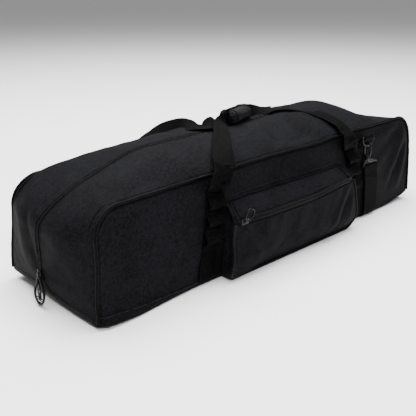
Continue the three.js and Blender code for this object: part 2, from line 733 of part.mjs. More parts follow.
// The pad is full in the middle and thins out towards its edges.
const PAD_HALF_WIDTH = 32;
add('shoulder_pad', bentBox(10, 6, 1, (u, v, w) => {
  const endwise = Math.sin(Math.PI * mix(0.12, 0.88, u)) ** 0.3;
  const sideways = Math.sin(Math.PI * mix(0.14, 0.86, v)) ** 0.3;
  const y = STRAP_BACK_Y + mix(-PAD_HALF_WIDTH, PAD_HALF_WIDTH, v);
  return V(mix(-125, 105, u), y, 4.5 + w * 10 * endwise * sideways);
}), 'polyester');

function adjuster() {
  const shape = roundedRect(-15, -29, 15, 29, 4);
  for (const [x, half] of [[-7.5, 26], [7.5, 25.6]]) {
    const corners = [[x - 1.9, -half], [x - 1.9, half], [x + 1.9, half], [x + 1.9, -half]];
    shape.holes.push(new THREE.Path(corners.map((p) => new THREE.Vector2(...p))));
  }
  const geometry = new THREE.ExtrudeGeometry(shape, {
    depth: 3, bevelEnabled: false, curveSegments: 4,
  });
  return welded(geometry).translate(178, STRAP_BACK_Y, 4.5);
}

add('strap_adjuster', adjuster(), 'hardware');

export default group;
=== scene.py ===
"""Looks of the telescope carry case: sewn fabric, webbing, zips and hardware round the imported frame.

Lengths are in millimetres until a mesh is made, because the case was designed in millimetres.
X runs along the case, -Y is the front with the pocket, +Z is up.
"""
import math

import bpy
import numpy as np
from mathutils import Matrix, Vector


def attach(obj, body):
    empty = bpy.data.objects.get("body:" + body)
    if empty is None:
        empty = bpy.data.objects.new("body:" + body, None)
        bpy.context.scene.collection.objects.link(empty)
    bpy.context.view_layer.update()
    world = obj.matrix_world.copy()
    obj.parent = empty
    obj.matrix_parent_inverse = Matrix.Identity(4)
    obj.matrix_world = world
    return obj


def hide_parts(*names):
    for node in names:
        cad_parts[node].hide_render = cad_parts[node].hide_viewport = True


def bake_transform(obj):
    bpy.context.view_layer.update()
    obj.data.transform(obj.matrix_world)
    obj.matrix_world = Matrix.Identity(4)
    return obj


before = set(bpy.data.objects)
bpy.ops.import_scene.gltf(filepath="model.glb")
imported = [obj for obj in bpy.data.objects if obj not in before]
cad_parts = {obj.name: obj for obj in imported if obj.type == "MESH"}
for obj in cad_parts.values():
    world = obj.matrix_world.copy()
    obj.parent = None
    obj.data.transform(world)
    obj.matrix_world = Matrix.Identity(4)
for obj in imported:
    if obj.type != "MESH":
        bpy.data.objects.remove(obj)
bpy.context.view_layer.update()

MM = 0.001

# ---- camera ----
CAMERA_PLACE = (-0.9058, -0.8346, 0.4868)
CAMERA_YAW = math.radians(45.856)  # from +X towards +Y
CAMERA_PITCH = math.radians(-19.511)
CAMERA_LENS = 54.3


def scene_object(name, data):
    obj = bpy.data.objects.new(name, data)
    bpy.context.scene.collection.objects.link(obj)
    return obj


def make_camera():
    data = bpy.data.cameras.new("camera")
    data.lens = CAMERA_LENS
    data.sensor_width = 36
    data.clip_end = 50
    camera = scene_object("camera", data)
    flat = math.cos(CAMERA_PITCH)
    look = Vector((flat * math.cos(CAMERA_YAW), flat * math.sin(CAMERA_YAW), math.sin(CAMERA_PITCH)))
    camera.location = CAMERA_PLACE
    camera.rotation_mode = "QUATERNION"
    camera.rotation_quaternion = look.to_track_quat("-Z", "Y")
    bpy.context.scene.camera = camera


make_camera()

# ---- driving dimensions, as in the CAD ----
LENGTH = 900
DEPTH = 256
PIPING_HEIGHT = 194
CROWN = 46
SIDE_LEAN = 18
END_BULGE = 15
RISE_PER_MM = 0.05 / 450
CORNER_RADIUS = 50
ZIP_RUN = 230  # the zip's long curve down each end: its length and its height
ZIP_DROP = 106
FOOT_SHARE = 0.2  # q, the share of the gusset's course, at the top of an end's straight foot
TOP_SHARE = 0.4  # and where its corner passes into the top
SIDE_BULGE = 6
LOW_EDGE = 6
WEBBING = 38
STRAP = 50
WEBBING_X = (-226, 216)
WEBBING_TOP_X = (-203, 200)
WEBBING_TOP = 165
POCKET_LOW_HALF = 188
POCKET_TOP_HALF = 166
POCKET_SEAM = 137
POCKET_ZIP = 107
HALF = LENGTH / 2
END_X = HALF + END_BULGE
SIDE_SIGN = {"front": -1, "back": 1}
ALONG_X = (1, 0, 0)
UP = np.array([0, 0, 1.0])

# where a bending piece would begin to follow its second body, and where it would follow it wholly, in metres
LEAF_BEND = ((0, 0, 0.150), (0, 0, 0.196))
FOOT_BEND = ((0, 0, 0.172), (0, 0, 0.203))
HANDLE_BEND = ((0, 0, 0.203), (0, 0, 0.226))
STRAP_BEND = ((0, 0, 0.030), (0, 0, 0.108))


def mix(a, b, f):
    return a + (b - a) * f


def smooth(f):
    f = np.clip(f, 0, 1)
    return f * f * (3 - 2 * f)


def bell(x, middle, width):
    return np.exp(-(((x - middle) / width) ** 2))


def at(x, y, z):
    """Points from coordinates of any shapes that fit together."""
    return np.stack(np.broadcast_arrays(x, y, z), axis=-1) * 1.0


# ---- the outer surface of the case ----
def tilt(x):
    return 1 + RISE_PER_MM * x


def half_depth(z):
    return DEPTH / 2 - SIDE_LEAN * (np.maximum(z, 0) / 200) ** 1.5


def outline(q, crown):
    """x and z of the gusset at q, from 0 at the left floor to 1 at the right; crown 1 is the zip."""
    side = np.where(q < 0.5, -1, 1)
    k = np.minimum(q, 1 - q)
    run = mix(CORNER_RADIUS, ZIP_RUN, crown)
    drop = mix(CORNER_RADIUS, ZIP_DROP, crown)
    power = 2 / mix(2, 1.75, crown)
    end = HALF + END_BULGE * crown
    top = PIPING_HEIGHT + CROWN * crown
    angle = np.clip((k - FOOT_SHARE) / (TOP_SHARE - FOOT_SHARE), 0, 1) * math.pi / 2
    x = end - run * (1 - np.maximum(np.cos(angle), 0) ** power)
    z = top - drop + drop * np.maximum(np.sin(angle), 0) ** power
    x = np.where(k > TOP_SHARE, (end - run) * (1 - (k - TOP_SHARE) / (0.5 - TOP_SHARE)), x) * side
    z = np.where(k > TOP_SHARE, top, z)
    z = np.where(k < FOOT_SHARE, mix(LOW_EDGE, top - drop, k / FOOT_SHARE), z)
    pressed = 5 * bell(x, 0, 110)  # under the grip
    return x, z * tilt(x) - pressed * crown


def half_width(q):
    return half_depth(outline(q, 0 * q)[1]) - 0.2


def side_top(x):
    past = np.maximum(0, np.abs(x) - (HALF - CORNER_RADIUS))
    arc = np.sqrt(np.maximum(0, CORNER_RADIUS**2 - past**2))
    return (PIPING_HEIGHT - CORNER_RADIUS + arc) * tilt(x)


def side_face(x, z):
    f = np.clip((z - LOW_EDGE) / (side_top(x) - LOW_EDGE), 0, 1)
    swell = SIDE_BULGE * np.sin(np.pi * f) ** 0.8 * (1 - (x / HALF) ** 6)
    return half_depth(z) + np.maximum(swell, 0)


# ---- folds and ripples ----
def fold_field(points, folds):
    """Sum of soft ridges (or valleys) along segments: each fold is start, end, width and height."""
    total = np.zeros(points.shape[:-1])
    for *ends, width, height in folds:
        a, b = np.array(ends, float).reshape(2, -1)
        run = b - a
        t = ((points - a) @ run) / (run @ run)
        inside = np.clip(t, 0, 1)
        off = np.linalg.norm(points - a - inside[..., None] * run, axis=-1)
        taper = np.clip(4 * inside * (1 - inside), 0, 1) ** 0.5
        total += height * taper * bell(off, 0, width)
    return total


def ripple(points, wavelength, seed, count=7):
    """A smooth wandering field of about unit height, made of seeded waves."""
    rng = np.random.default_rng(seed)
    total = np.zeros(points.shape[:-1])
    for _ in range(count):
        direction = rng.normal(size=3)
        direction /= np.linalg.norm(direction)
        scale = wavelength * rng.uniform(0.6, 1.6)
        phase = rng.uniform(0, 2 * math.pi)
        total += np.sin(points @ direction * (2 * math.pi / scale) + phase)
    return total / math.sqrt(count)


# ---- mesh helpers ----
def unit(v):
    return v / np.maximum(np.linalg.norm(v, axis=-1, keepdims=True), 1e-9)


def grid_normals(grid):
    return unit(np.cross(np.gradient(grid, axis=0), np.gradient(grid, axis=1)))


def lengths_along(points):
    """How far each point of a row is from its start."""
    return np.concatenate([[0], np.cumsum(np.linalg.norm(np.diff(points, axis=0), axis=1))])


def arc_uv(grid):
    """Lengths along the two directions of a grid, in metres."""
    du = np.linalg.norm(np.diff(grid, axis=0), axis=-1).mean(axis=1)
    dv = np.linalg.norm(np.diff(grid, axis=1), axis=-1).mean(axis=0)
    u = np.concatenate([[0], np.cumsum(du)])
    v = np.concatenate([[0], np.cumsum(dv)])
    return np.stack(np.meshgrid(u, v, indexing="ij"), axis=-1) * MM


def make_mesh(name, verts, faces, uvs, materials, face_materials=None):
    """A new object from millimetre vertices, its faces turned outwards; uvs has a pair for each vertex."""
    verts = np.asarray(verts, float)
    corners = verts[np.array([(f[0], f[k], f[k + 1]) for f in faces for k in range(1, len(f) - 1)])]
    if (corners[:, 0] * np.cross(corners[:, 1], corners[:, 2])).sum() < 0:
        faces = [f[::-1] for f in faces]
    mesh = bpy.data.meshes.new(name)
    mesh.from_pydata((verts * MM).tolist(), [], faces)
    layer = mesh.uv_layers.new(name="UVMap")
    loops = np.zeros(len(mesh.loops), int)
    mesh.loops.foreach_get("vertex_index", loops)
    layer.data.foreach_set("uv", np.asarray(uvs, float)[loops].astype(np.float32).ravel())
    for material in materials:
        mesh.materials.append(material)
    if face_materials is not None:
        mesh.polygons.foreach_set("material_index", np.asarray(face_materials, int))
    mesh.polygons.foreach_set("use_smooth", [True] * len(mesh.polygons))
    mesh.update()
    return scene_object(name, mesh)


def quads(nu, nv, start=0, flip=False, closed_u=False, closed_v=False):
    out = []
    for i in range(nu if closed_u else nu - 1):
        for j in range(nv if closed_v else nv - 1):
            i2 = (i + 1) % nu
            j2 = (j + 1) % nv
            f = tuple(start + k for k in (i * nv + j, i2 * nv + j, i2 * nv + j2, i * nv + j2))
            out.append(f[::-1] if flip else f)
    return out


def shell(name, outer, inner, material, lining=None):
    """A closed sheet between two grids of points."""
    nu, nv = outer.shape[:2]
    count = nu * nv
    faces = quads(nu, nv) + quads(nu, nv, count, flip=True)
    skins = [0] * ((nu - 1) * (nv - 1)) + [1] * ((nu - 1) * (nv - 1))
    rim = [i * nv for i in range(nu)]
    rim += [(nu - 1) * nv + j for j in range(1, nv)]
    rim += [i * nv + nv - 1 for i in range(nu - 2, -1, -1)]
    rim += [j for j in range(nv - 2, 0, -1)]
    for a, b in zip(rim, rim[1:] + rim[:1]):
        faces.append((b, a, a + count, b + count))
        skins.append(0)
    verts = np.concatenate([outer.reshape(-1, 3), inner.reshape(-1, 3)])
    uvs = np.concatenate([arc_uv(outer).reshape(-1, 2), arc_uv(inner).reshape(-1, 2)])
    return make_mesh(name, verts, faces, uvs, [material, lining or material], skins)


def prism(name, grid, uvs, material, closed=False):
    """A closed section at each station of a row, capped unless the row closes on itself."""
    n, m = grid.shape[:2]
    faces = quads(n, m, closed_u=closed, closed_v=True)
    if not closed:
        faces.append(tuple(range(m)))
        faces.append(tuple((n - 1) * m + k for k in reversed(range(m))))
    return make_mesh(name, grid.reshape(-1, 3), faces, uvs.reshape(-1, 2) * MM, [material])


def spline(points, count):
    """Points at even spacing along a smooth curve through the given ones (any number of columns)."""
    p = np.array(points, float)
    t = np.concatenate([[0], np.cumsum(np.linalg.norm(np.diff(p[:, :3], axis=0), axis=1) ** 0.5)])
    m = np.gradient(p, t, axis=0)

    def curve(s):
        k = np.clip(np.searchsorted(t, s, "right") - 1, 0, len(t) - 2)
        h = (t[k + 1] - t[k])[:, None]
        f = ((s - t[k]) / h[:, 0])[:, None]
        a = (2 * f**3 - 3 * f**2 + 1) * p[k] + (f**3 - 2 * f**2 + f) * h * m[k]
        return a + (-2 * f**3 + 3 * f**2) * p[k + 1] + (f**3 - f**2) * h * m[k + 1]

    dense = np.linspace(0, t[-1], max(200, 6 * count))
    length = lengths_along(curve(dense)[:, :3])
    return curve(np.interp(np.linspace(0, length[-1], count), length, dense))


def closed_spline(points, count):
    points = list(points)
    return spline(points + points[:1], count)[:-1]


def sweep(name, centres, sides, normals, sections, material, closed=False):
    """Sweeps a closed section of (across, up) pairs, one for each station, along the centres."""
    grid = centres[:, None] + sections[..., :1] * sides[:, None] + sections[..., 1:] * normals[:, None]
    uu, vv = np.meshgrid(lengths_along(centres), lengths_along(sections[0]), indexing="ij")
    return prism(name, grid, np.stack([vv, uu], axis=-1), material, closed)


def strip(name, stations, thick, count, material, width=WEBBING):
    """Webbing through stations of (x, y, z, and the three parts of its width direction, [width])."""
    rows = [(*s[:3], *unit(np.array(s[3:6], float)), *(s[6:] if len(s) > 6 else (width,))) for s in stations]
    fine = spline(rows, count)
    centres = fine[:, :3]
    along = unit(np.gradient(centres, axis=0))
    across = fine[:, 3:6]
    across = unit(across - (across * along).sum(axis=1, keepdims=True) * along)
    # flat, with slightly fuller woven edges
    top = [(-0.5, 0.0), (-0.494, 0.42), (-0.47, 0.56), (-0.43, 0.5), (-0.2, 0.5), (0, 0.5),
           (0.2, 0.5), (0.43, 0.5), (0.47, 0.56), (0.494, 0.42), (0.5, 0.0)]
    section = np.array(top + [(x, -z) for x, z in reversed(top[1:-1])])
    sections = section * np.stack([fine[:, 6], np.full(count, thick)], axis=-1)[:, None]
    return sweep(name, centres, across, np.cross(along, across), sections, material)


def tube(name, points, radius, material, around=10, closed=False):
    """A round bar along points; radius is one number or one for each point."""
    points = np.asarray(points, float)
    if closed:
        tangents = unit(np.roll(points, -1, axis=0) - np.roll(points, 1, axis=0))
    else:
        tangents = unit(np.gradient(points, axis=0))
    side = unit(np.cross(tangents[0], [0.31, 0.53, 0.79]))
    sides = []
    for t in tangents:  # each side turns as little as possible from the one before
        side = unit(side - (side @ t) * t)
        sides.append(side)
    sides = np.array(sides)
    angles = np.linspace(0, 2 * math.pi, around, endpoint=False)
    ring = np.stack([np.cos(angles), np.sin(angles)], axis=-1)
    sections = ring * np.broadcast_to(np.asarray(radius, float), (len(points),))[:, None, None]
    return sweep(name, points, sides, np.cross(tangents, sides), sections, material, closed)


def joined(name, parts):
    """Several new objects as one piece."""
    bpy.ops.object.select_all(action="DESELECT")
    for part in parts:
        part.select_set(True)
    bpy.context.view_layer.objects.active = parts[0]
    bpy.ops.object.join()
    parts[0].name = name
    parts[0].data.name = name
    return parts[0]


def stitches(name, points, normals, material, pitch=3.4, length=2.5, thick=0.5):
    """A row of separate thread stitches along a curve, each a small bulged bar."""
    normals = np.broadcast_to(np.asarray(normals, float), points.shape)
    run = lengths_along(points)
    places = np.arange(pitch / 2, run[-1] - pitch / 2, pitch)

    def along_run(values, s):
        return np.stack([np.interp(s, run, values[:, k]) for k in range(3)], axis=-1)

    ends = [along_run(points, places + step * length / 2) for step in (-1, 0, 1)]
    normal = unit(along_run(normals, places))
    across = np.cross(unit(ends[2] - ends[0]), normal)
    verts = []
    for centre, size, rise in zip(ends, (0.5, 1, 0.5), (0, 1, 0)):
        middle = centre + normal * (0.15 + rise * thick * 0.35)
        half = thick * size / 2
        for a, b in ((-1, 0), (0, 1), (1, 0), (0, -1)):
            verts.append(middle + across * half * a + normal * half * b)
    verts = np.stack(verts, axis=1).reshape(-1, 3)
    bar = [(k, (k + 1) % 4, (k + 1) % 4 + 4, k + 4) for k in range(4)]
    bar += [tuple(k + 4 for k in face) for face in bar] + [(0, 3, 2, 1), (8, 9, 10, 11)]
    faces = [tuple(first + k for k in face) for first in range(0, len(verts), 12) for face in bar]
    return make_mesh(name, verts, faces, verts[:, [0, 2]] * MM, [material])


# pitch, length and thickness of the stitches in each kind of row
BAR_TACK = (1.9, 1.7, 0.8)
TAB_ROW = (1.9, 1.6, 0.7)
STRAP_ROW = (2.4, 2.0, 0.8)
GRIP_ROW = (3.2, 2.3, 0.6)
BASE_ROW = (3.6, 2.9, 0.7)
POCKET_ROW = (3.6, 2.4, 0.45)


# ---- materials ----
def set_inputs(node, **values):
    for socket, value in values.items():
        node.inputs[socket.replace("_", " ")].default_value = value


def wave(tree, source, direction, pitch):
    """A sine ridge of the given pitch in metres across a coordinate."""
    node = tree.nodes.new("ShaderNodeTexWave")
    node.wave_type = "BANDS"
    node.bands_direction = direction
    node.wave_profile = "SIN"
    set_inputs(node, Scale=2 * math.pi / (20 * pitch), Distortion=0)
    tree.links.new(source, node.inputs["Vector"])
    return node.outputs["Fac"]


def noise(tree, source, scale, detail):
    node = tree.nodes.new("ShaderNodeTexNoise")
    set_inputs(node, Scale=scale, Detail=detail, Roughness=0.6)
    tree.links.new(source, node.inputs["Vector"])
    return node.outputs["Fac"]


def maths(tree, kind, a, b):
    node = tree.nodes.new("ShaderNodeMath")
    node.operation = kind
    for socket, value in zip(node.inputs, (a, b)):
        if isinstance(value, (int, float)):
            socket.default_value = value
        else:
            tree.links.new(value, socket)
    return node.outputs[0]


BLOTCHES = 14  # scales of the mottling, per metre
SPECKS = 260
GRAIN = 420


def surface(name, colour, roughness, metallic=0, sheen=0, weave=None, spread=0.8,
            bump=0.4, bump_depth=0.0005, specular=0.045):
    """A procedural material: mottled colour, and a weave of (pitch across, pitch along) in metres."""
    material = bpy.data.materials.new(name)
    material.use_nodes = True
    tree = material.node_tree
    body = tree.nodes["Principled BSDF"]
    place = tree.nodes.new("ShaderNodeTexCoord")
    cloud = noise(tree, place.outputs["Object"], BLOTCHES, 5)
    grain = noise(tree, place.outputs["Object"], GRAIN, 3)
    ramp = tree.nodes.new("ShaderNodeValToRGB")
    for element, share, level in zip(ramp.color_ramp.elements, (0.40, 0.60), (1 - spread, 1 + spread)):
        element.position = share
        element.color = (*[min(1, c * level) for c in colour], 1)
    speck = noise(tree, place.outputs["Object"], SPECKS, 2)
    mottle = maths(tree, "ADD", maths(tree, "MULTIPLY", cloud, 0.35), maths(tree, "MULTIPLY", speck, 0.65))
    tree.links.new(mottle, ramp.inputs["Fac"])
    tree.links.new(ramp.outputs["Color"], body.inputs["Base Color"])
    rough = maths(tree, "ADD", maths(tree, "MULTIPLY", cloud, 0.2), roughness - 0.1)
    tree.links.new(rough, body.inputs["Roughness"])
    set_inputs(body, Metallic=metallic, Specular_IOR_Level=specular, Sheen_Weight=sheen, Sheen_Roughness=0.5)
    height = grain
    if weave:
        across = wave(tree, place.outputs["UV"], "X", weave[0])
        along = wave(tree, place.outputs["UV"], "Y", weave[1])
        threads = maths(tree, "MULTIPLY", across, along)
        height = maths(tree, "ADD", threads, maths(tree, "MULTIPLY", grain, 0.6))
    relief = tree.nodes.new("ShaderNodeBump")
    set_inputs(relief, Strength=bump, Distance=bump_depth)
    tree.links.new(height, relief.inputs["Height"])
    tree.links.new(relief.outputs["Normal"], body.inputs["Normal"])
    return material


POLYESTER = surface("polyester", (0.0028, 0.0028, 0.0037), 0.75, sheen=0.004, weave=(0.0009, 0.0009))
GRIP_CLOTH = surface("grip_cloth", (0.0075, 0.0075, 0.0086), 0.7, sheen=0.006, weave=(0.0008, 0.0008))
LINING = surface("lining", (0.0026, 0.0026, 0.0029), 0.8, sheen=0.004, weave=(0.0006, 0.0006))
WEBBING_CLOTH = surface("webbing", (0.0013, 0.0013, 0.0014), 0.7, specular=0.025,
                        weave=(0.0026, 0.0016), bump=0.6, bump_depth=0.0007)
PIPING_CLOTH = surface("piping", (0.0014, 0.0014, 0.0017), 0.5, weave=(0.0007, 0.0007), specular=0.04)
POCKET_PIPING = surface("pocket_piping", (0.0046, 0.0046, 0.0055), 0.5, weave=(0.0007, 0.0007))
BINDING_CLOTH = surface("binding", (0.0048, 0.0047, 0.0054), 0.6, weave=(0.0012, 0.0012))
ZIP_CLOTH = surface("zip_tape", (0.0018, 0.0018, 0.0021), 0.6, weave=(0.0007, 0.0012))
COIL = surface("zip_coil", (0.0016, 0.0016, 0.0018), 0.34, specular=0.12)
BOARD = surface("board", (0.005, 0.005, 0.005), 0.6)
PLASTIC = surface("hardware", (0.0014, 0.0014, 0.0016), 0.3, bump=0.08, specular=0.14, spread=0.1)
STEEL = surface("slider_metal", (0.004, 0.004, 0.0045), 0.34, metallic=0.3, bump=0.08, specular=0.18)
RUBBER = surface("rubber", (0.0011, 0.0011, 0.0013), 0.4, bump=0.12, specular=0.09)
THREAD = surface("thread", (0.0080, 0.0080, 0.0090), 0.6)
PALE_THREAD = surface("pale_thread", (0.030, 0.030, 0.033), 0.6)
PAD_CLOTH = surface("pad_cloth", (0.0026, 0.0026, 0.0029), 0.8, sheen=0.004, weave=(0.0011, 0.0011))


def file_piece(nodes):
    if nodes:
        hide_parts(*nodes)


def settle_piece(obj, body, slot, *nodes):
    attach(obj, body)
    file_piece(nodes)


def bend_piece(obj, bodies, bend, slot, *nodes):
    """A piece whose place is baked into its mesh, with the CAD nodes it stands for hidden; it is put on
    neither body and does not bend.
    """
    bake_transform(obj)
    file_piece(nodes)


# ---- how the cloth lies ----
def soft_min(a, b, width):
    low = np.minimum(a, b)
    return low - width * np.log(np.exp(-(a - low) / width) + np.exp(-(b - low) / width))


def lift(points):
    """How the stuffed case departs from its cut shape: the ends lean, the right end is slack."""
    x = points[..., 0]
    y = points[..., 1]
    z = points[..., 2]
    front = mix(0.45, 1, smooth((60 - y) / 150))
    across = np.clip(np.abs(y) / 112, 0, 1.2)
    left = smooth((-x - 60) / 330)
    far_left = smooth((-x - 360) / 70)
    high = smooth(z / 150)
    moved = points.copy()
    # the left end leans inwards above, and its front corner stands out
    moved[..., 0] = x + far_left * high * across**2 * mix(4, 6, smooth(-y / 60))
    moved[..., 0] -= np.sign(x) * np.maximum(np.abs(x) - HALF, 0) * (1 - smooth(z / 55)) * 0.85
    moved[..., 1] = y - smooth(-y / 110) * high * mix(1.5, 7, left)
    moved[..., 1] += far_left * smooth(y / 110) * high * -5
    # the front's foot swells out near the left end
    foot = 13 * bell(x, -412, 66) + 4 * bell(x, -330, 60)
    moved[..., 1] -= foot * smooth(-y / 118) * np.clip(1 - z / 75, 0, 1) ** 1.6 * smooth((x + 456) / 22)
    # the underside rises at the right end, and at the back of the left end
    rise = 10 * smooth((x - 330) / 110) ** 1.3 * front + 6 * smooth((x - 425) / 25) * front
    rise += far_left * mix(15, 4, smooth((70 - y) / 180))
    up = rise * np.clip(1 - z / 85, 0, 1) ** 1.3
    # the crown is slack towards the right end
    slack = mix(46, -9, smooth((x - 235) / 165))
    flat = (PIPING_HEIGHT + slack * np.maximum(0, 1 - across**2)) * tilt(x)
    weight = smooth((x - 215) / 60) * smooth((118 - np.abs(y)) / 20)
    moved[..., 2] = mix(z, soft_min(z, flat - 1, 6), weight) + up
    # the front piping sags between the handles
    moved[..., 2] -= 4 * bell(x, 95, 75) * smooth((z - 120) / 70) * smooth(-y / 110)
    return moved


def seam_shift(q):
    """The zip runs a little in front of the middle over the left half of the top."""
    return -20 * smooth((q - FOOT_SHARE) / 0.13) * smooth((0.60 - q) / 0.2)


def edge_distance(x, z):
    """How far a point of a side panel is inside the piping round it."""
    over_x = np.abs(x) - (HALF - CORNER_RADIUS)
    over_z = z / tilt(x) - (PIPING_HEIGHT - CORNER_RADIUS)
    outside = np.hypot(np.maximum(over_x, 0), np.maximum(over_z, 0))
    return CORNER_RADIUS - outside - np.minimum(np.maximum(over_x, over_z), 0)


SIDE_FOLDS = {  # in the plane of each side panel: x and z of the start and the end, width, height
    -1: [
        (436, 182, 345, 66, 15, 5.0),
        (428, 150, 352, 40, 11, -4.5),
        (444, 166, 392, 30, 12, 4.0),
        (415, 190, 300, 120, 13, -3.5),
        (418, 192, 270, 158, 12, 3.2),
        (360, 150, 262, 84, 14, 2.6),
        (-13, 196, -22, 150, 6, -3.2),
        (-4, 196, 4, 160, 7, 2.2),
        (-440, 190, -330, 150, 16, 2.4),
        (-436, 150, -350, 60, 16, 2.2),
        (-425, 110, -300, 28, 14, -2.0),
        (-300, 186, -250, 60, 18, 2.2),
        (-120, 178, 90, 186, 9, -1.4),
        (235, 170, 300, 110, 12, -2.4),
    ],
    1: [
        (430, 180, 300, 80, 18, 3.5),
        (-430, 180, -310, 70, 18, 3.5),
        (-120, 170, 80, 60, 26, 3.0),
        (60, 180, 160, 60, 20, -2.5),
        (-260, 150, -140, 40, 20, -2.5),
    ],
}
SIDE_SEED = {-1: 11, 1: 23}


def side_out(side, x, z):
    """How far a side's stuffed cloth stands from the case's middle plane."""
    flat = at(x, 0, z)
    inside = edge_distance(x, z)
    seed = SIDE_SEED[side]
    rough = 1.5 * ripple(flat, 150, seed) + 0.6 * ripple(flat, 52, seed + 1)
    rough += 0.22 * ripple(flat, 20, seed + 2) + fold_field(flat[..., ::2], SIDE_FOLDS[side])
    gather = smooth(inside / 26) * smooth((z - 2) / 24)
    pucker = 0.55 * np.sin((x - z) * 2 * math.pi / 13) * np.exp(-np.maximum(inside, 0) / 9)
    ridge = 0.9 * bell(inside, 7.5, 2.2) - 2.4 * bell(np.maximum(inside, 0), 0, 4)
    return side_face(x, z) + (gather * rough + pucker + ridge)


def side_point(side, x, z, off=0):
    return lift(at(x, side * (side_out(side, x, z) + off), z))


TOP_FOLDS = [  # of the top and of the left end: x, y and z of the start and the end, width, height
    (70, 12, 232, 100, -112, 205, 13, -8.0),
    (118, -112, 205, 150, 10, 236, 24, 4.5),
    (330, 8, 236, 440, -60, 176, 22, 4.0),
    (250, -16, 240, 216, -110, 208, 20, -4.5),
    (-20, -112, 200, 40, -40, 230, 16, -3.5),
    (-300, -8, 228, -222, -112, 196, 24, 3.0),
    (-380, -16, 196, -300, -108, 186, 20, -3.0),
    (-250, 10, 232, -320, 108, 190, 20, -3.0),
    (60, 16, 236, 20, 110, 205, 20, -4.5),
    (180, 16, 240, 230, 112, 205, 22, -4.0),
    (-120, 20, 236, -150, 112, 200, 18, 3.0),
    (-464, 53, 166, -464, 27, 105, 9, -3.2),
    (-464, 27, 105, -464, 7, 41, 9, -3.2),
    (-464, 78, 150, -464, 44, 60, 16, 3.0),
    (-455, -60, 160, -464, -24, 60, 20, 2.4),
]


def gusset_base(q, y):
    y = y + seam_shift(q) * np.maximum(0, 1 - (y / half_width(q)) ** 2)
    t = y / half_width(q)
    x, z = outline(q, 1 - t * t)
    return at(x, y, z)


def gusset_point(q, y, off=0):
    """A point of the end and top cloth, lifted off it by off."""
    q, y = np.broadcast_arrays(np.asarray(q, float), np.asarray(y, float))
    base = gusset_base(q, y)
    q_step, y_step = 0.0015, 0.5
    along = gusset_base(q + q_step, y) - gusset_base(q - q_step, y)
    across = gusset_base(q, y + y_step) - gusset_base(q, y - y_step)
    normal = unit(np.cross(along, across))
    rough = 1.3 * ripple(base, 130, 41) + 0.6 * ripple(base, 48, 42) + 0.2 * ripple(base, 19, 43)
    inside = np.maximum(half_width(q) - np.abs(y), 0)
    held = smooth(inside / 24) * smooth(base[..., 2] / 26)  # 0 at the seams, where the cloth can't fold
    calm = smooth((np.abs(y) + 10) / 40) * held
    sag = fold_field(base, TOP_FOLDS) * held * smooth((np.abs(y) + 24) / 40)
    pucker = 0.5 * np.sin((base[..., 0] + base[..., 2]) * 2 * math.pi / 12) * np.exp(-inside / 8)
    lip = 0.45 * np.sin((base[..., 0] + base[..., 2]) * 2 * math.pi / 17 + 1) * bell(np.abs(y), 8, 6)
    total = off + rough * calm + sag + pucker + lip - 1.8 * bell(inside, 0, 4)
    return lift(base + normal * total[..., None])


# ---- side panels ----
PANEL_THICK = 7


def side_panel(name, side):
    columns, rows = 190, 84
    u = np.linspace(-1, 1, columns)[:, None]
    x = (HALF - 0.6) * mix(u, np.sin(u * math.pi / 2), 0.75)
    v = np.linspace(0, 1, rows)[None]
    z = mix(LOW_EDGE - 3.5, side_top(x) - 0.4, 1 - (1 - v) ** 1.15)
    outer = side_point(side, x, z)
    inner = side_point(side, x, z, -PANEL_THICK)
    inner[..., 1] = side * np.minimum(np.abs(inner[..., 1]), half_depth(z) - 5.2)
    obj = shell(f"side_{name}", outer, inner, POLYESTER, LINING)
    settle_piece(obj, "root", "polyester", f"{name}_panel", f"{name}_liner")


# ---- ends and top, in two leaves ----
Q_LOW = -0.0060  # the cloth goes on a little below the foot of an end
LIP = 3.6  # the fabric is folded back this far from the zip line
GUSSET_THICK = 4.4
LEAF_STITCH_LINE = 7.6  # how far the row of stitches lies from the zip line
ZIP_TURNS = 1100


def leaf(name, side):
    columns, rows = 300, 40
    bodies = ("root", f"top_flap_{name}")
    q = mix(Q_LOW, 1 - Q_LOW, np.linspace(0, 1, columns))[:, None]
    v = np.linspace(0, 1, rows)[None]
    spread = mix(LIP, half_width(q), 1 - (1 - v) ** 1.1)
    roll = 2.0 * bell(spread, LIP, 1.2)  # the folded edge turns down
    lip = 0.9 * bell(spread, 5.6, 2.4) - 0.8 * bell(spread, 8.6, 1.2)
    outer = gusset_point(q, side * spread, 0.9 - roll + lip)
    inner = gusset_point(q, side * np.clip(spread, LIP, half_width(q) - 1), -GUSSET_THICK)
    obj = shell(f"leaf_{name}", outer, inner, POLYESTER, LINING)
    bend_piece(obj, bodies, LEAF_BEND, "polyester",
               f"end_left_{name}", f"top_flap_{name}", f"end_right_{name}")
    q_line = np.linspace(0.002, 0.998, 700)
    line = gusset_point(q_line, side * LEAF_STITCH_LINE, 0.9)
    above = gusset_point(q_line, side * LEAF_STITCH_LINE, 1.9)
    row = stitches(f"leaf_stitches_{name}", line, unit(above - line), THREAD)
    bend_piece(row, bodies, LEAF_BEND, "polyester")


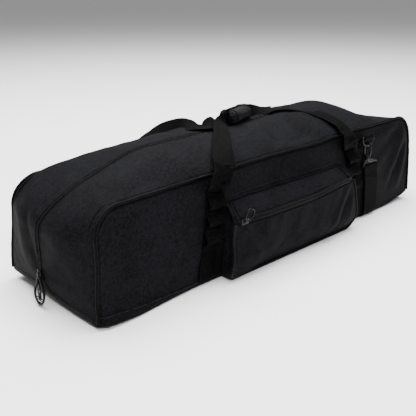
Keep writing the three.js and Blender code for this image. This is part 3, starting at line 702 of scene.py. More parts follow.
def leaf_hinge(name, side):
    """The seam allowance under a leaf's edge, which stays sewn to the panel when the leaf opens."""
    q = np.linspace(0.21, 0.79, 260)
    x, z = outline(q, 0 * q)
    rim = np.stack([x, z], axis=-1)
    along = unit(np.gradient(rim, axis=0))
    away = np.stack([-along[:, 1], along[:, 0]], axis=-1)  # out of the panel, in its own plane
    v = np.linspace(0, 1, 12)[None, :, None]
    plan = rim[:, None] + away[:, None] * mix(-9, 3, v)
    deeper = plan - away[:, None] * 1.2
    out = half_depth(z)[:, None] - mix(3.2, 11.5, v[..., 0])
    outer = lift(at(plan[..., 0], side * out, plan[..., 1]))
    inner = lift(at(deeper[..., 0], side * (out - 1.2), deeper[..., 1]))
    obj = shell(f"leaf_hinge_{name}", outer, inner, LINING)
    bend = ((0, side * 0.1076, 0.185), (0, side * 0.09836, 0.18578))
    bend_piece(obj, ("root", f"top_flap_{name}"), bend, "lining")


def zip_half(name, side):
    """Half of the main zip: tape under the lip and a coil along its edge."""
    q = np.linspace(0.004, 0.996, 420)[:, None]
    y = side * np.array([0.35, 2.4, 3.4, 9, 14.5])[None]
    tape = shell("tape", gusset_point(q, y, -0.5), gusset_point(q, y, -1.6), ZIP_CLOTH)
    steps = 4 * ZIP_TURNS  # four to a turn of the coil
    q_line = np.linspace(0.006, 0.994, steps)
    turn = np.arange(steps) * math.pi / 2
    centre = gusset_point(q_line, side * 1.3, 0.25)
    above = unit(gusset_point(q_line, side * 1.3, 1.25) - centre)
    path = centre + above * (0.55 * np.sin(turn))[:, None] + at(0, side * np.cos(turn), 0)
    coil = tube("coil", path, 0.42, COIL, around=4)
    obj = joined(f"main_zip_{name}", [tape, coil])
    bend_piece(obj, ("root", f"top_flap_{name}"), LEAF_BEND, "zip",
               f"zip_left_{name}", f"zip_top_{name}", f"zip_right_{name}")


# ---- pipings ----
def piping(name, side):
    q = np.linspace(0.002, 0.998, 420)
    x, z = outline(q, 0 * q)
    wander = 0.35 * np.sin(x / 31 + z / 17) + 0.2 * np.sin(x / 9.7)
    out = unit(at(x * (np.abs(x) > HALF - 60), 0, 4 * (z > 150) * (z - 120)) + 1e-6)
    path = lift(at(x, side * (half_depth(z) + 0.7), z)) + out * (0.1 + wander)[:, None]
    radius = 2.7 + 0.12 * np.sin(x / 5.1 + z / 4.3)
    cord = tube(f"piping_{name}_cover", path, radius, PIPING_CLOTH, around=12)
    settle_piece(cord, "root", "piping", f"piping_{name}")


for NAME, SIDE in SIDE_SIGN.items():
    side_panel(NAME, SIDE)
for NAME, SIDE in SIDE_SIGN.items():
    leaf(NAME, SIDE)
    leaf_hinge(NAME, SIDE)
    zip_half(NAME, SIDE)
for NAME, SIDE in SIDE_SIGN.items():
    piping(NAME, SIDE)


# ---- base ----
def wrap_height(x, side):
    """How high the base panel turns up on a side, in mm above the floor."""
    if side > 0:
        return 8 + 0 * x
    return mix(19, 12, smooth((x + 440) / 200)) - 4 * smooth((x - 250) / 100)


def foot_point(side, x, z, off):
    """Points on a side's foot that rise only as far as the underside does."""
    out = side_point(side, x, np.maximum(z, 3), off)
    out[:, 2] = lift(at(x, out[:, 1], z))[:, 2]
    return out


def base_skin(x, inner):
    """One skin of the base cloth, as rows from the front's turn-up, under the case, to the back's."""
    skin = 0 if inner else 1.2
    turned = {}
    for side in (-1, 1):
        rise = [mix(3.4, wrap_height(x, side), f) for f in (1, 0.75, 0.5, 0.25)]
        turned[side] = [foot_point(side, x, z, 0.35 + skin * 0.6) for z in rise]
        for a in np.radians((15, 45, 75)):
            y = side * (121.5 + (5.2 + skin * 0.6) * np.cos(a))
            turned[side].append(lift(at(x, y, 4.6 - (3.4 + skin) * np.sin(a))))
    floor = []
    for y in np.linspace(-120, 120, 27):
        z = 0.2 + 1.2 * inner + 0.5 * (1 + np.sin(x / 37 + y / 23)) * (abs(y) < 118)
        bow = 13 * np.sign(x) * (np.abs(x) / HALF) ** 20 * (1 - (y / 121) ** 2)
        floor.append(lift(at(x + bow, y, z)))
    return np.stack(turned[-1] + floor + turned[1][::-1], axis=1)


def base_tray():
    x = np.linspace(-HALF + 0.5, HALF - 0.5, 150)
    obj = shell("base_tray", base_skin(x, 0), base_skin(x, 1), POLYESTER)
    settle_piece(obj, "root", "polyester", "base_panel")
    for name, side in SIDE_SIGN.items():
        line = foot_point(side, x, wrap_height(x, side) - 1.6, 1.5)
        row = stitches(f"base_seam_{name}", line, [0, side, 0.1], PALE_THREAD, *BASE_ROW)
        settle_piece(row, "root", "polyester")


def floor_board():
    """The stiffening board under a loose lining, inside the base."""
    x = np.linspace(-424, 424, 60)[:, None]
    y = np.linspace(-112, 112, 18)[None]
    low = lift(at(x, y, 5.6))
    high = lift(at(x, y, 8.2 + 0.4 * np.sin(x / 40) * np.cos(y / 30)))
    board = shell("base_stiffener", high, low, LINING, BOARD)
    settle_piece(board, "root", "board", "base_board")


def end_binding(name, direction):
    """Bound seam along the foot of an end, where the base cloth turns up."""
    y = np.linspace(-117, 117, 60)
    lines = []
    for z, off in ((1.2, 1.0), (2.2, 2.4), (7, 2.7), (12.2, 2.3), (13.6, 1.2), (12.8, 0.2), (1.6, 0.1)):
        q = max((z - LOW_EDGE) / (PIPING_HEIGHT - CORNER_RADIUS - LOW_EDGE) * FOOT_SHARE, Q_LOW)
        lines.append(gusset_point(q if direction < 0 else 1 - q, y, off))
    grid = np.stack(lines, axis=1)
    uvs = np.stack(np.meshgrid(y, np.arange(len(lines)) * 3.0, indexing="ij"), axis=-1)
    band = prism(f"end_binding_{name}_tape", grid, uvs, BINDING_CLOTH)
    settle_piece(band, "root", "webbing", f"end_binding_{name}")
    row = stitches(f"end_binding_{name}_stitches", grid[:, 3], [direction, 0, 0.1], THREAD)
    settle_piece(row, "root", "webbing")


base_tray()
floor_board()
end_binding("left", -1)
end_binding("right", 1)

# ---- handle webbings round the case ----
WEBBING_THICK = 1.6
WEBBING_STAND = 2.0  # how far its middle lies off the cloth
UNDER_Z = 0.9  # and its height under the case
TACKS = {-1: (165, 163.5, 132, 104, 71, 66), 1: (165, 158, 60, 20)}  # heights of the bar tacks on each side
LOOPS = ((134, 161), (106, 130), (74, 102))  # daisy loops between bar tacks, in height
LOOP_BULGE = 7.5
LOOP_THICK = 1.5


def webbing_x(index, z):
    f = np.clip((z - 40) / (WEBBING_TOP - 40), 0, 1)
    return mix(WEBBING_X[index], WEBBING_TOP_X[index], f)


def webbing_side(index, side):
    """Stations from the underside up to the top of one side panel."""
    low = [lift(np.array([WEBBING_X[index], side * y, z], float))
           for y, z in ((60, UNDER_Z), (100, UNDER_Z), (116, 1.1), (124.5, 3.4), (129.6, 9.5))]
    high = [side_point(side, webbing_x(index, z), z, WEBBING_STAND) for z in np.arange(18, 168, 6.0)]
    return [(*place, *ALONG_X) for place in low + high]


def webbing_run(index, tag):
    under = [(WEBBING_X[index], y, UNDER_Z, *ALONG_X) for y in (40, 0, -40)]
    path = webbing_side(index, 1)[::-1] + under + webbing_side(index, -1)
    obj = strip(f"webbing_{tag}_run", path, WEBBING_THICK, 420, WEBBING_CLOTH)
    settle_piece(obj, "root", "webbing", f"webbing_{tag}")


def webbing_stitches(index, tag):
    """Bar tacks across the webbing and rows along both its edges, on both sides of the case."""
    x_line = np.linspace(-0.5, 0.5, 30) * (WEBBING - 5)
    rows = []
    for side, heights in TACKS.items():
        for z in heights:
            line = side_point(side, webbing_x(index, z) + x_line, z, WEBBING_STAND + 1.0)
            rows.append(stitches("tack", line, [0, side, 0], THREAD, *BAR_TACK))
    for side, z_line in ((-1, np.linspace(16, 70, 60)), (1, np.linspace(16, 160, 160))):
        for edge in (-1, 1):
            x = webbing_x(index, z_line) + edge * (WEBBING / 2 - 3.2)
            line = side_point(side, x, z_line, WEBBING_STAND + 0.9)
            rows.append(stitches("edge", line, [0, side, 0], THREAD))
    settle_piece(joined(f"webbing_{tag}_stitches", rows), "root", "webbing")


def daisy_loops(index, tag):
    for k, (low, high) in enumerate(LOOPS):
        stations = []
        for f in np.linspace(0, 1, 11):
            z = mix(low, high, f)
            bulge = LOOP_BULGE * math.sin(math.pi * (1 - f) ** 1.9) ** 0.8
            place = side_point(-1, webbing_x(index, z), z, WEBBING_STAND + 1.9 + bulge)
            stations.append((*place, *ALONG_X))
        loop = strip(f"daisy_loop_{tag}_{k + 1}", stations, LOOP_THICK, 30, WEBBING_CLOTH, WEBBING - 1)
        settle_piece(loop, "root", "webbing")


for INDEX, TAG in enumerate(("left", "right")):
    webbing_run(INDEX, TAG)
    webbing_stitches(INDEX, TAG)
    daisy_loops(INDEX, TAG)

# ---- handles ----
GRIP_CENTRE = np.array([-15.5, 4, 249.5])
GRIP_YAW = math.radians(17.5)
GRIP_LENGTH = 80
GRIP_HALF_WIDTH = 18.5
GRIP_HALF_HEIGHT = 13.5
GRIP_ROUND = 0.78  # power of the section's curve: 1 is an ellipse, less is squarer
GRIP_AXIS = np.array([math.cos(GRIP_YAW), math.sin(GRIP_YAW), 0])
GRIP_SIDE = np.array([-math.sin(GRIP_YAW), math.cos(GRIP_YAW), 0])
HANDLE_SPLIT = 204  # the height where a handle's foot ends and the rest of its webbing begins
HANDLE_THICK = 1.7
FOOT_TOP = {  # where each webbing leaves the panels for a handle: x, distance from the middle, z
    "front": ((-209, 137.5, 176), (178, 134, 183)),
    "back": ((-200, 137, 182), (196, 136, 184)),
}
HANDLE_LEGS = {  # stations from the left panel to the grip, and from the grip to the right panel
    "front": (
        [(-197, -136, 186, 1, 0.1, 0.1), (-180, -127, 203, 1, -0.05, 0.2),
         (-166, -107, 219, 0.95, -0.25, 0.25, 36), (-140, -80, 231, 0.9, -0.45, 0.2, 33),
         (-112, -50, 240, 0.8, -0.6, 0.15, 28), (-88, -24, 246, 0.6, -0.75, -0.2, 25)],
        [(54, 14, 246, -0.1, -0.6, -0.6, 30), (94, 4, 244, -0.3, -0.95, 0.05, 34),
         (140, -24, 242, -0.65, -0.75, 0, 34), (176, -68, 230, -0.93, -0.35, -0.15, 35),
         (188, -104, 213, -1, -0.1, 0, 36), (185, -129, 195, -1, 0, 0)],
    ),
    "back": (
        [(-174, 126, 198, 1, 0.35, 0.1), (-156, 108, 210, 0.75, 0.6, 0.3),
         (-142, 86, 222, 0.45, 0.7, 0.5), (-132, 60, 231, 0.35, 0.75, 0.5),
         (-128, 30, 238, 0.5, 0.85, 0.3), (-125, 6, 239.5, 0.7, 0.8, 0.1, 34),
         (-112, -9, 241, 0.5, 0.85, 0.1, 32), (-90, -9, 245, 0.2, 0.7, 0.6, 30)],
        [(54, 34, 244, -0.2, 0.7, -0.6, 30), (100, 50, 240, -0.5, 0.85, -0.2, 36),
         (146, 76, 230, -0.7, 0.7, -0.25), (176, 103, 216, -0.9, 0.4, -0.15),
         (190, 124, 200, -1, 0.1, 0)],
    ),
}


def handle_foot(name, index, first, second):
    """The stretch that bends over the seam, from the panel to the split; returns the split's station."""
    side = SIDE_SIGN[name]
    turn = (1, -1)[index]
    x, out, z = FOOT_TOP[name][index]
    halfway = (mix(WEBBING_TOP_X[index], x, 0.5), side * mix(126, out, 0.6), mix(WEBBING_TOP, z, 0.5))
    foot = webbing_side(index, side)[-3:] + [(*halfway, *ALONG_X), (x, side * out, z, *ALONG_X)]
    first, second = (np.array([*s[:3], *unit(np.array(s[3:6], float))]) for s in (first, second))
    split = mix(first, second, np.clip((HANDLE_SPLIT - first[2]) / (second[2] - first[2]), 0.2, 1))
    foot += [(*s[:3], *(turn * s[3:])) for s in (first, split)]
    tag = ("left", "right")[index]
    obj = strip(f"webbing_{tag}_{name}_end", foot, HANDLE_THICK, 90, WEBBING_CLOTH)
    bend_piece(obj, ("root", f"top_flap_{name}"), FOOT_BEND, "webbing")
    return split


def grip_at(along, section):
    """Places of (across, up) pairs at a distance along the grip's axis."""
    return GRIP_CENTRE + along * GRIP_AXIS + section[..., :1] * GRIP_SIDE + section[..., 1:] * UP


def handle(name):
    offset = np.array([SIDE_SIGN[name] * 2.4, 0])
    core = [(*grip_at(along, offset), *-UP, 24) for along in (-45, -25, 0, 25, 45)]
    left, right = HANDLE_LEGS[name]
    start = handle_foot(name, 0, left[0], left[1])
    end = handle_foot(name, 1, right[-1], right[-2])
    left = left[1:] if left[1][2] > HANDLE_SPLIT + 2 else left[2:]
    obj = strip(f"handle_{name}_webbing", [start] + left + core + right[:-1] + [end], HANDLE_THICK, 420,
                WEBBING_CLOTH)
    bend_piece(obj, (f"top_flap_{name}", f"handle_{name}"), HANDLE_BEND, "webbing", f"handle_{name}")


def grip_section(side, grow, count=44):
    """Half of the flattened grip tube: across the grip and up, from the top seam to the lower one."""
    angles = np.linspace(math.pi / 2, -math.pi / 2, count)
    across = np.abs(np.cos(angles)) ** GRIP_ROUND * (GRIP_HALF_WIDTH + grow)
    up = np.sign(np.sin(angles)) * np.abs(np.sin(angles)) ** GRIP_ROUND * (GRIP_HALF_HEIGHT + grow)
    return np.stack([side * (across + 0.5), up], axis=-1)


def grip_pad(name, side):
    """Half of the stuffed grip, drawn in at its ends and quilted."""
    outer = []
    inner = []
    for along in np.linspace(-0.5, 0.5, 61) * GRIP_LENGTH:
        edge = GRIP_LENGTH / 2 - abs(along)
        soft = -1.6 * bell(edge, 0, 2.2) - 0.9 * bell(edge, 10.5, 2.0)
        shrink = 10.5 * max(0, 1 - edge / 8) ** 1.8
        section = grip_section(side, soft - shrink)
        turn = np.linspace(0, math.pi, len(section))
        quilt = 0.5 * np.sin(turn * 5 + along / 9) + 0.5 * np.sin(along / 6.5 + turn * 2)
        seam = -1.0 * bell(turn, math.pi / 2, 0.10)
        outer.append(grip_at(along, section * (1 + (quilt + seam)[:, None] / 30)))
        inner.append(grip_at(along, grip_section(side, -5 - 0.75 * shrink)))
    obj = shell(f"grip_pad_{name}", np.array(outer), np.array(inner), GRIP_CLOTH, LINING)
    settle_piece(obj, f"handle_{name}", "polyester", f"grip_wrap_{name}")


def grip_trim(name, side):
    """Bindings round both ends and along the top seam, and the rows of stitches beside them."""
    edges = []
    rows = []
    for end in (-1, 1):
        for inset, grow, radius in ((0.6, -9.6, 1.2), (8.6, 0.3, 0.8)):
            line = grip_at(end * (GRIP_LENGTH / 2 - inset), grip_section(side, grow, 36))
            edges.append(tube("edge", line, radius, WEBBING_CLOTH, around=8))
        place = end * (GRIP_LENGTH / 2 - 10)
        line = grip_at(place, grip_section(side, 0.2, 50))
        outwards = unit(line - grip_at(place, np.zeros(2)))
        rows.append(stitches("row", line, outwards, PALE_THREAD, *GRIP_ROW))
    along = np.linspace(-0.5, 0.5, 50)[:, None] * (GRIP_LENGTH - 3)
    edges.append(tube("edge", grip_at(along, np.array([side * 1.6, 13.4])), 1.3, WEBBING_CLOTH, around=8))
    line = grip_at(np.linspace(-32, 32, 40)[:, None], grip_section(side, 0.2, 3)[1])
    rows.append(stitches("row", line, side * GRIP_SIDE, THREAD, *GRIP_ROW))
    settle_piece(joined(f"grip_binding_{name}", edges), f"handle_{name}", "polyester")
    settle_piece(joined(f"grip_stitches_{name}", rows), f"handle_{name}", "polyester")


for NAME, SIDE in SIDE_SIGN.items():
    handle(NAME)
    grip_pad(NAME, SIDE)
    grip_trim(NAME, SIDE)

# ---- main sliders and their pulls ----
SLIDER_BOXES = (  # outwards, across and along the zip, from and to; then how far the outer face domes
    (0.4, 2.4, -4.6, 4.6, -8, 9, 0.7),
    (2.2, 4.2, -1.7, 1.7, -3.4, -1.8, 0.3),
    (3.9, 5.2, -1.7, 1.7, -3.4, 5.6, 0.5),
    (2.2, 4.6, -1.7, 1.7, 4.4, 6.2, 0.2),
)


def slider(node, place, turn):
    """A slider's domed plate and the bridge that holds its pull; turn sets it out from its own axes."""
    grid = np.linspace(-1, 1, 6)
    a, b = np.meshgrid(grid, grid, indexing="ij")
    parts = []
    for x0, x1, y0, y1, z0, z1, dome in SLIDER_BOXES:
        y = mix(y0, y1, (a + 1) / 2)
        z = mix(z0, z1, (b + 1) / 2)
        top = turn(at(x1 + dome * (1 - a**2) * (1 - b**2), y, z))
        parts.append(shell("part", top + place, turn(at(x0, y, z)) + place, STEEL))
    settle_piece(joined(f"{node}_body", parts), node, "metal", node)


def facing_left(points):
    return points * np.array([-1, 1, 1.0])


def omega_pull():
    arms = [(0.5, 0, 1.5), (0, 2.6, 0.5), (0, 5.2, -5), (0, 7.6, -11), (-1, 13.2, -21), (-2, 14.2, -30),
            (-2.6, 11.2, -38), (-3.1, 5.6, -43), (-3.3, 0, -44.6)]
    path = arms + [(x, -y, z) for x, y, z in arms[-2:0:-1]]
    place = np.array([-END_X - 6, -2, 50])
    points = closed_spline(path, 120) + place
    radius = 1.9 + 0.25 * np.cos(np.linspace(0, 2 * math.pi, len(points)))[::-1]
    parts = [tube("loop", points, radius, RUBBER, around=12, closed=True)]
    for z in (-34, -38, -42):  # ribs across its foot
        half = 12.5 - 0.55 * (abs(z) - 34)
        y = np.linspace(-half, half, 12)
        parts.append(tube("rib", place + at(-2.8, y, z + 0.5 * np.cos(y / 9)), 0.9, RUBBER, around=8))
    settle_piece(joined("main_pull_loop", parts), "main_pull", "rubber", "main_pull")


def tongue_pull():
    place = np.array([-END_X - 6.4, 0, 30])
    a = 2 * math.pi * np.arange(28) / 28
    y = 3.6 * np.sign(np.sin(a)) * np.abs(np.sin(a)) ** 0.7
    z = -9 + 10.4 * np.sign(np.cos(a)) * np.abs(np.cos(a)) ** 0.7
    rim = tube("rim", place + at(0, y, z), 0.85, STEEL, around=8, closed=True)
    faces = [place + at(x, [[-3.2], [3.2]], [[-16.5, -7]]) for x in (-0.5, 0.5)]
    obj = joined("main_pull_tongue", [rim, shell("plate", *faces, STEEL)])
    settle_piece(obj, "main_pull_lower", "metal", "main_pull_lower")


for NODE, HEIGHT in (("main_slider", 54), ("main_slider_lower", 33.5)):
    slider(NODE, np.array([-END_X - 1.9, 0, HEIGHT]), facing_left)
omega_pull()
tongue_pull()

# ---- pocket ----
POCKET_FOLDS = [  # in the plane of the pocket's face: x and z of the start and the end, width, height
    (150, 112, 76, 14, 9, 3.6),
    (158, 96, 104, 12, 8, -3.2),
    (168, 84, 140, 8, 8, 2.4),
    (-160, 96, -120, 20, 11, 2.6),
    (-140, 100, -60, 40, 13, -2.2),
    (-60, 98, 40, 84, 10, -1.8),
    (20, 70, 70, 16, 13, 2.0),
    (-118, 86, -66, 40, 17, 5.0),
    (-60, 92, -20, 30, 15, -4.0),
    (40, 60, 120, 30, 14, 3.0),
]
POCKET_END = 170  # x where the zip turns up beside the pocket
POCKET_FOOT = 1.2
POCKET_CORNER = 6.0
POCKET_ZIP_HALF = 7.2
TAPE_THICK = 1.1
LEAF_EDGE = 0.19  # where the pocket's leaf begins, as a share of the way from the zip to the seam
POCKET_SLIDER = np.array([-171.0, -165.5, POCKET_ZIP + 4])


def pocket_half(z, side):
    """Half the pocket's length at a height; the right side draws in beside the zip, the left stands out."""
    z = np.asarray(z, float)
    half = mix(POCKET_LOW_HALF, POCKET_TOP_HALF, z / POCKET_SEAM)
    draw_in = 8 * bell(z, 114, 20) - 3 * bell(z, 42, 26)
    spread = 9 + 3 * bell(z, 98, 28)
    corner = 13 * np.clip(1 - z / 24, 0, 1) ** 2
    return half - corner - np.where(side > 0, draw_in, 0) + np.where(side < 0, spread, 0)


def zip_height(x):
    return POCKET_ZIP + 9 * smooth((x - 10) / 140)


def pocket_face(x, z):
    f = np.clip(z / 45, 0, 1)
    full = 145 + 16 * np.sin(f * math.pi / 2)
    full = full + 3 * np.sin(math.pi * f / 2) * (1 - np.minimum(np.abs(x) / POCKET_LOW_HALF, 1) ** 4)
    full = full + smooth((-x - 100) / 70) * mix(6, -5, smooth(z / 90))
    flat = at(x, 0, z)
    calm = smooth((pocket_half(z, x) - np.abs(x)) / 20) * smooth(z / 18)
    calm = calm * smooth((zip_height(x) + 4 - z) / 16)
    rough = 1.3 * ripple(flat, 110, 71) + 0.6 * ripple(flat, 40, 72)
    return full + (rough + fold_field(flat[..., ::2], POCKET_FOLDS)) * calm


def pocket_cover(x, v):
    """The sloping cover above the zip: v is 0 at the zip and 1 at the seam on the panel."""
    z = mix(zip_height(x), POCKET_SEAM, v)
    out = mix(pocket_face(x, zip_height(x)), side_out(-1, x, POCKET_SEAM) + 1.4, v)
    arch = 2.6 * np.sin(math.pi * v) + 0.8 * ripple(at(x, 0, z), 60, 81) * np.sin(math.pi * v)
    return at(x, -out - arch, z)


def pocket_wall(side, depth, z):
    """A point of a pocket's end wall; depth is 0 at the panel and 1 at the face."""
    hx = pocket_half(z, side)
    foot = side_out(-1, side * hx, z) - 0.6
    crease = -3.5 * bell(depth, 0.5, 0.2) * smooth(z / 40)
    return at(side * (hx + crease), -mix(foot, pocket_face(side * hx, z), depth), z)


def pocket_body():
    """The face and both end walls in one cloth, with a rounded corner between them."""
    v = np.linspace(0, 1, 46)
    walls = {}
    for side in (-1, 1):
        top = zip_height(side * POCKET_END)
        walls[side] = [pocket_wall(side, depth, mix(POCKET_FOOT, mix(POCKET_SEAM - 2, top - 3.5, depth), v))
                       for depth in np.linspace(0, 0.84, 12)]
        z = mix(POCKET_FOOT, top - 3.8, v)
        hx = pocket_half(z, side)
        for a in np.radians((22, 45, 68)):
            out = pocket_face(side * (hx - POCKET_CORNER), z) - POCKET_CORNER * (1 - np.sin(a))
            walls[side].append(at(side * (hx - POCKET_CORNER * (1 - np.cos(a))), -out, z))
    face = []
    for u in np.linspace(-1, 1, 120):
        z = mix(POCKET_FOOT, zip_height(u * POCKET_END) - 4.2, v)
        x = u * (pocket_half(z, u) - POCKET_CORNER)
        face.append(at(x, -pocket_face(x, z), z))
    outer = np.stack(walls[-1] + face + walls[1][::-1], axis=0)
    normals = grid_normals(outer)
    inner = outer + normals * 1.8 * np.sign(normals[60, 20, 1])
    obj = shell("pocket_body", outer, inner, POLYESTER, LINING)
    settle_piece(obj, "root", "polyester", "pocket_front", "pocket_side_left", "pocket_side_right")


def pocket_floor():
    x = np.linspace(-183, 183, 70)[:, None]
    f = np.linspace(0, 1, 8)[None]
    y = -mix(side_face(x, 3.0) - 1, pocket_face(x, 3.0) - 0.6, f)
    low = at(x, y, 1.3 + 0.6 * np.sin(math.pi * f))
    floor = shell("pocket_floor", low + 1.5 * UP, low, LINING, POLYESTER)
    settle_piece(floor, "root", "polyester", "pocket_bottom")


def pocket_zip_path():
    """Centre and width direction of the pocket's zip, up both slopes and along the face."""
    slopes = {}
    for side in (-1, 1):
        slopes[side] = []
        for v in (0.97, 0.75, 0.52, 0.33):
            x = side * (pocket_half(mix(zip_height(side * POCKET_END), POCKET_SEAM, v), side) - 5.5)
            slopes[side].append((*pocket_cover(x, v), -side, 0, 0))
        x = side * (pocket_half(zip_height(side * POCKET_END) + 3.5, side) - 8.5)
        slopes[side].append((*pocket_cover(x, 0.11), -side * 0.75, -0.35, 0.75))
    along = [(x, -pocket_face(x, zip_height(x)) - 0.3, zip_height(x), 0, -0.12, 1)
             for x in np.linspace(-162, 144, 40)]
    path = np.array(slopes[-1] + along + slopes[1][::-1], float)
    path[:, 3:] = unit(path[:, 3:])
    return path


def pocket_zip_half(name, sign, body, *nodes):
    """Tape, coil, folded cloth edge and stitches on one side of the pocket's zip."""
    path = pocket_zip_path()
    half = POCKET_ZIP_HALF
    fine = spline(path, 2400)
    path[:, :3] += sign * path[:, 3:] * (half / 2 + 0.25)
    tape = strip("tape", path, TAPE_THICK, 320, ZIP_CLOTH, half)
    centre = fine[:, :3]
    across = unit(fine[:, 3:6])
    normal = np.cross(unit(np.gradient(centre, axis=0)), across)
    turn = np.arange(len(centre)) * math.pi / 2
    coil_path = centre + across * (sign * 0.9 + 0.75 * np.cos(turn))[:, None]
    coil_path = coil_path + normal * (0.8 + 0.45 * np.sin(turn))[:, None]
    coil = tube("coil", coil_path, 0.36, COIL, around=4)
    edge = centre + across * (sign * (half + 0.2)) + normal * 0.7
    fold = tube("fold", edge[::6], 1.9, POLYESTER, around=8)
    row = stitches("row", (edge + across * sign * 2.2)[::4] + normal[::4] * 0.4, normal[::4], THREAD)
    settle_piece(joined(f"pocket_zip_{name}_half", [tape, coil, fold, row]), body, "zip", *nodes)


def pocket_leaf():
    v = np.linspace(LEAF_EDGE, 1.0, 22)[None]
    u = np.linspace(-1, 1, 120)[:, None]
    z = mix(zip_height(u * 160), POCKET_SEAM, v)
    round_in = 9 * np.clip(1 - (v - LEAF_EDGE) / 0.3, 0, 1) ** 2
    outer = pocket_cover(u * (pocket_half(z, u) - 10.0 - round_in), v)
    obj = shell("pocket_leaf", outer, outer + np.array([0, 1.4, -1.2]), POLYESTER, LINING)
    settle_piece(obj, "pocket_flap", "polyester", "pocket_flap")


def pocket_seam():
    """The leaf's seam on the panel: a fold of cloth between two rows of stitches."""
    x = np.linspace(-160, 160, 200)
    row = stitches("pocket_seam_stitches", pocket_cover(x, 0.94), [0, -0.6, 0.8], THREAD, thick=0.6)
    settle_piece(row, "pocket_flap", "polyester")
    above = side_point(-1, x, POCKET_SEAM + 9, 0.4)
    row = stitches("pocket_top_stitches", above, [0, -1, 0.1], PALE_THREAD, *POCKET_ROW)
    settle_piece(row, "root", "polyester")
    fold = tube("pocket_seam_fold", side_point(-1, x, POCKET_SEAM + 1.2, 0.9), 1.5, POLYESTER, around=8)
    settle_piece(fold, "root", "polyester")


def pocket_edge():
    """Piping up both corners of the pocket's face and along its foot."""
    corners = {}
    for side in (-1, 1):
        corners[side] = [(side * POCKET_END, -148.8, 2.6)]
        for z in (14, 28, 44, 60, 76, 92, zip_height(side * 160) - 2):
            hx = pocket_half(z, side) - 1.2
            corners[side].append((side * (hx + 1), -pocket_face(side * hx, z) + 0.4, z))
    foot = [(x, -149.4, 2.2) for x in (-150, -100, -50, 0, 50, 100, 150)]
    fine = spline(corners[-1][::-1] + foot + corners[1], 300)
    fine[:, 0] += 0.4 * np.sin(fine[:, 2] / 7)
    cord = tube("pocket_piping_cover", fine, 2.2, POCKET_PIPING)
    settle_piece(cord, "root", "piping", "pocket_piping")


def facing_front(points):
    """Sets out a slider that faces the front and runs along X."""
    return np.stack([points[..., 2], -points[..., 0], points[..., 1]], axis=-1)


def pocket_pull():
    path = [(0, 0, 1.5), (-4, -1, 6), (-5, -3, 16), (2, -4, 23), (10, -4, 22), (14, -3, 14), (9, -1, 5),
            (3.4, 0, 1.5)]
    points = closed_spline(path, 90) + (POCKET_SLIDER + np.array([-1.7, -7.6, 1]))
    loop = tube("pocket_pull_loop", points, 1.65, RUBBER, closed=True)
    settle_piece(loop, "pocket_pull", "rubber", "pocket_pull")


pocket_body()
pocket_floor()
pocket_zip_half("lower", -1, "root", "pocket_zip_lower")
pocket_zip_half("upper", 1, "pocket_flap")
pocket_leaf()
pocket_seam()
pocket_edge()
slider("pocket_slider", POCKET_SLIDER, facing_front)
pocket_pull()

# ---- D-rings, snap hooks and swivel eyes ----
RING = np.array([252.0, -132, 184])
HOOK_MIDDLE = np.array([253.0, -132.5, 155.4])
EYE = np.array([253.0, -133, 138])
EYE_SHIFT = 13  # the eye's lower bar lies this far to the right of its neck
EYE_HALF = 25
RING_WIRE = 1.9  # radius
EYE_WIRE = 1.95
TAB_WIDTH = 32
TURN = {"front": np.array([1.0, 1, 1]), "back": np.array([-1.0, -1, 1])}  # the same set, half a turn on


def ring_tab(name, turn):
    """The webbing tab sewn to the panel, with the D-ring's bar in its fold."""
    out = side_out(-1, RING[0], 160.0)
    path = [(-(out + 1.0), 157), (-(out + 1.3), 166), (-(out + 2.2), 173), (-128.0, 179.5), (-128.2, 184)]
    for angle in range(150, 10, -28):
        a = math.radians(angle)
        path.append((-132 + 3.7 * math.cos(a), 184 + 3.7 * math.sin(a)))
    path += [(-135.8, 183), (-134.2, 178.4), (-(out + 5.4), 172.5), (-(out + 3.4), 165), (-(out + 2.9), 157)]
    stations = [(*(turn * (RING[0], y, z)), turn[0], 0, 0) for y, z in path]
    parts = [strip("tab", stations, LOOP_THICK, 110, WEBBING_CLOTH, TAB_WIDTH)]
    for station in stations[:-3:-1]:
        line = station[:3] + turn * at(np.linspace(-13, 13, 20), -1.0, 1.5)
        parts.append(stitches("row", line, [0, -turn[1], 0], THREAD, *TAB_ROW))
    settle_piece(joined(f"ring_tab_{name}_sewn", parts), "root", "webbing", f"ring_tab_{name}")


def d_ring(name, turn):
    half = [(10, 0), (17, -0.2), (19.5, -2.2), (19.7, -7), (17.6, -12.4), (12.5, -16.6), (6, -18.8)]
    path = [(-10, 0)] + half + [(0, -19.3)] + [(-x, z) for x, z in half[:0:-1]]
    points = RING + closed_spline([(x, 0, z) for x, z in path], 100)
    ring = tube(f"d_ring_{name}_bar", turn * points, RING_WIRE, PLASTIC, around=12, closed=True)
    settle_piece(ring, f"ring_{name}", "hardware", f"d_ring_{name}")


def snap_hook(name, turn):
    """The hook's bent bar and its round barrel, which turns in the eye."""
    path = [(0, -14.6), (5, -14.4), (7.2, -11.5), (7.8, -6), (7.8, 2), (7.7, 8), (5.6, 12.6), (0.5, 14.3),
            (-4.6, 12.6), (-6.8, 8.2)]
    points = spline([(0, y, z) for y, z in path], 60)
    sizes = np.interp(np.linspace(0, 1, 60), [0, 0.25, 0.6, 0.9, 1], [3.0, 2.7, 2.3, 2.0, 1.7])
    bar = tube("bar", turn * (HOOK_MIDDLE + points), sizes, PLASTIC, around=12)
    z = np.array([-17.2, -16.9, -16.2, -15.4, -13.6, -12.2, -11.6])
    sizes = np.array([3.6, 4.8, 5.2, 4.9, 4.9, 4.2, 2.6])
    barrel = tube("barrel", turn * (HOOK_MIDDLE + at(0, 0.5, z)), sizes, PLASTIC, around=18)
    obj = joined(f"snap_hook_{name}_frame", [bar, barrel])
    settle_piece(obj, f"snap_hook_{name}", "hardware", f"snap_hook_{name}")


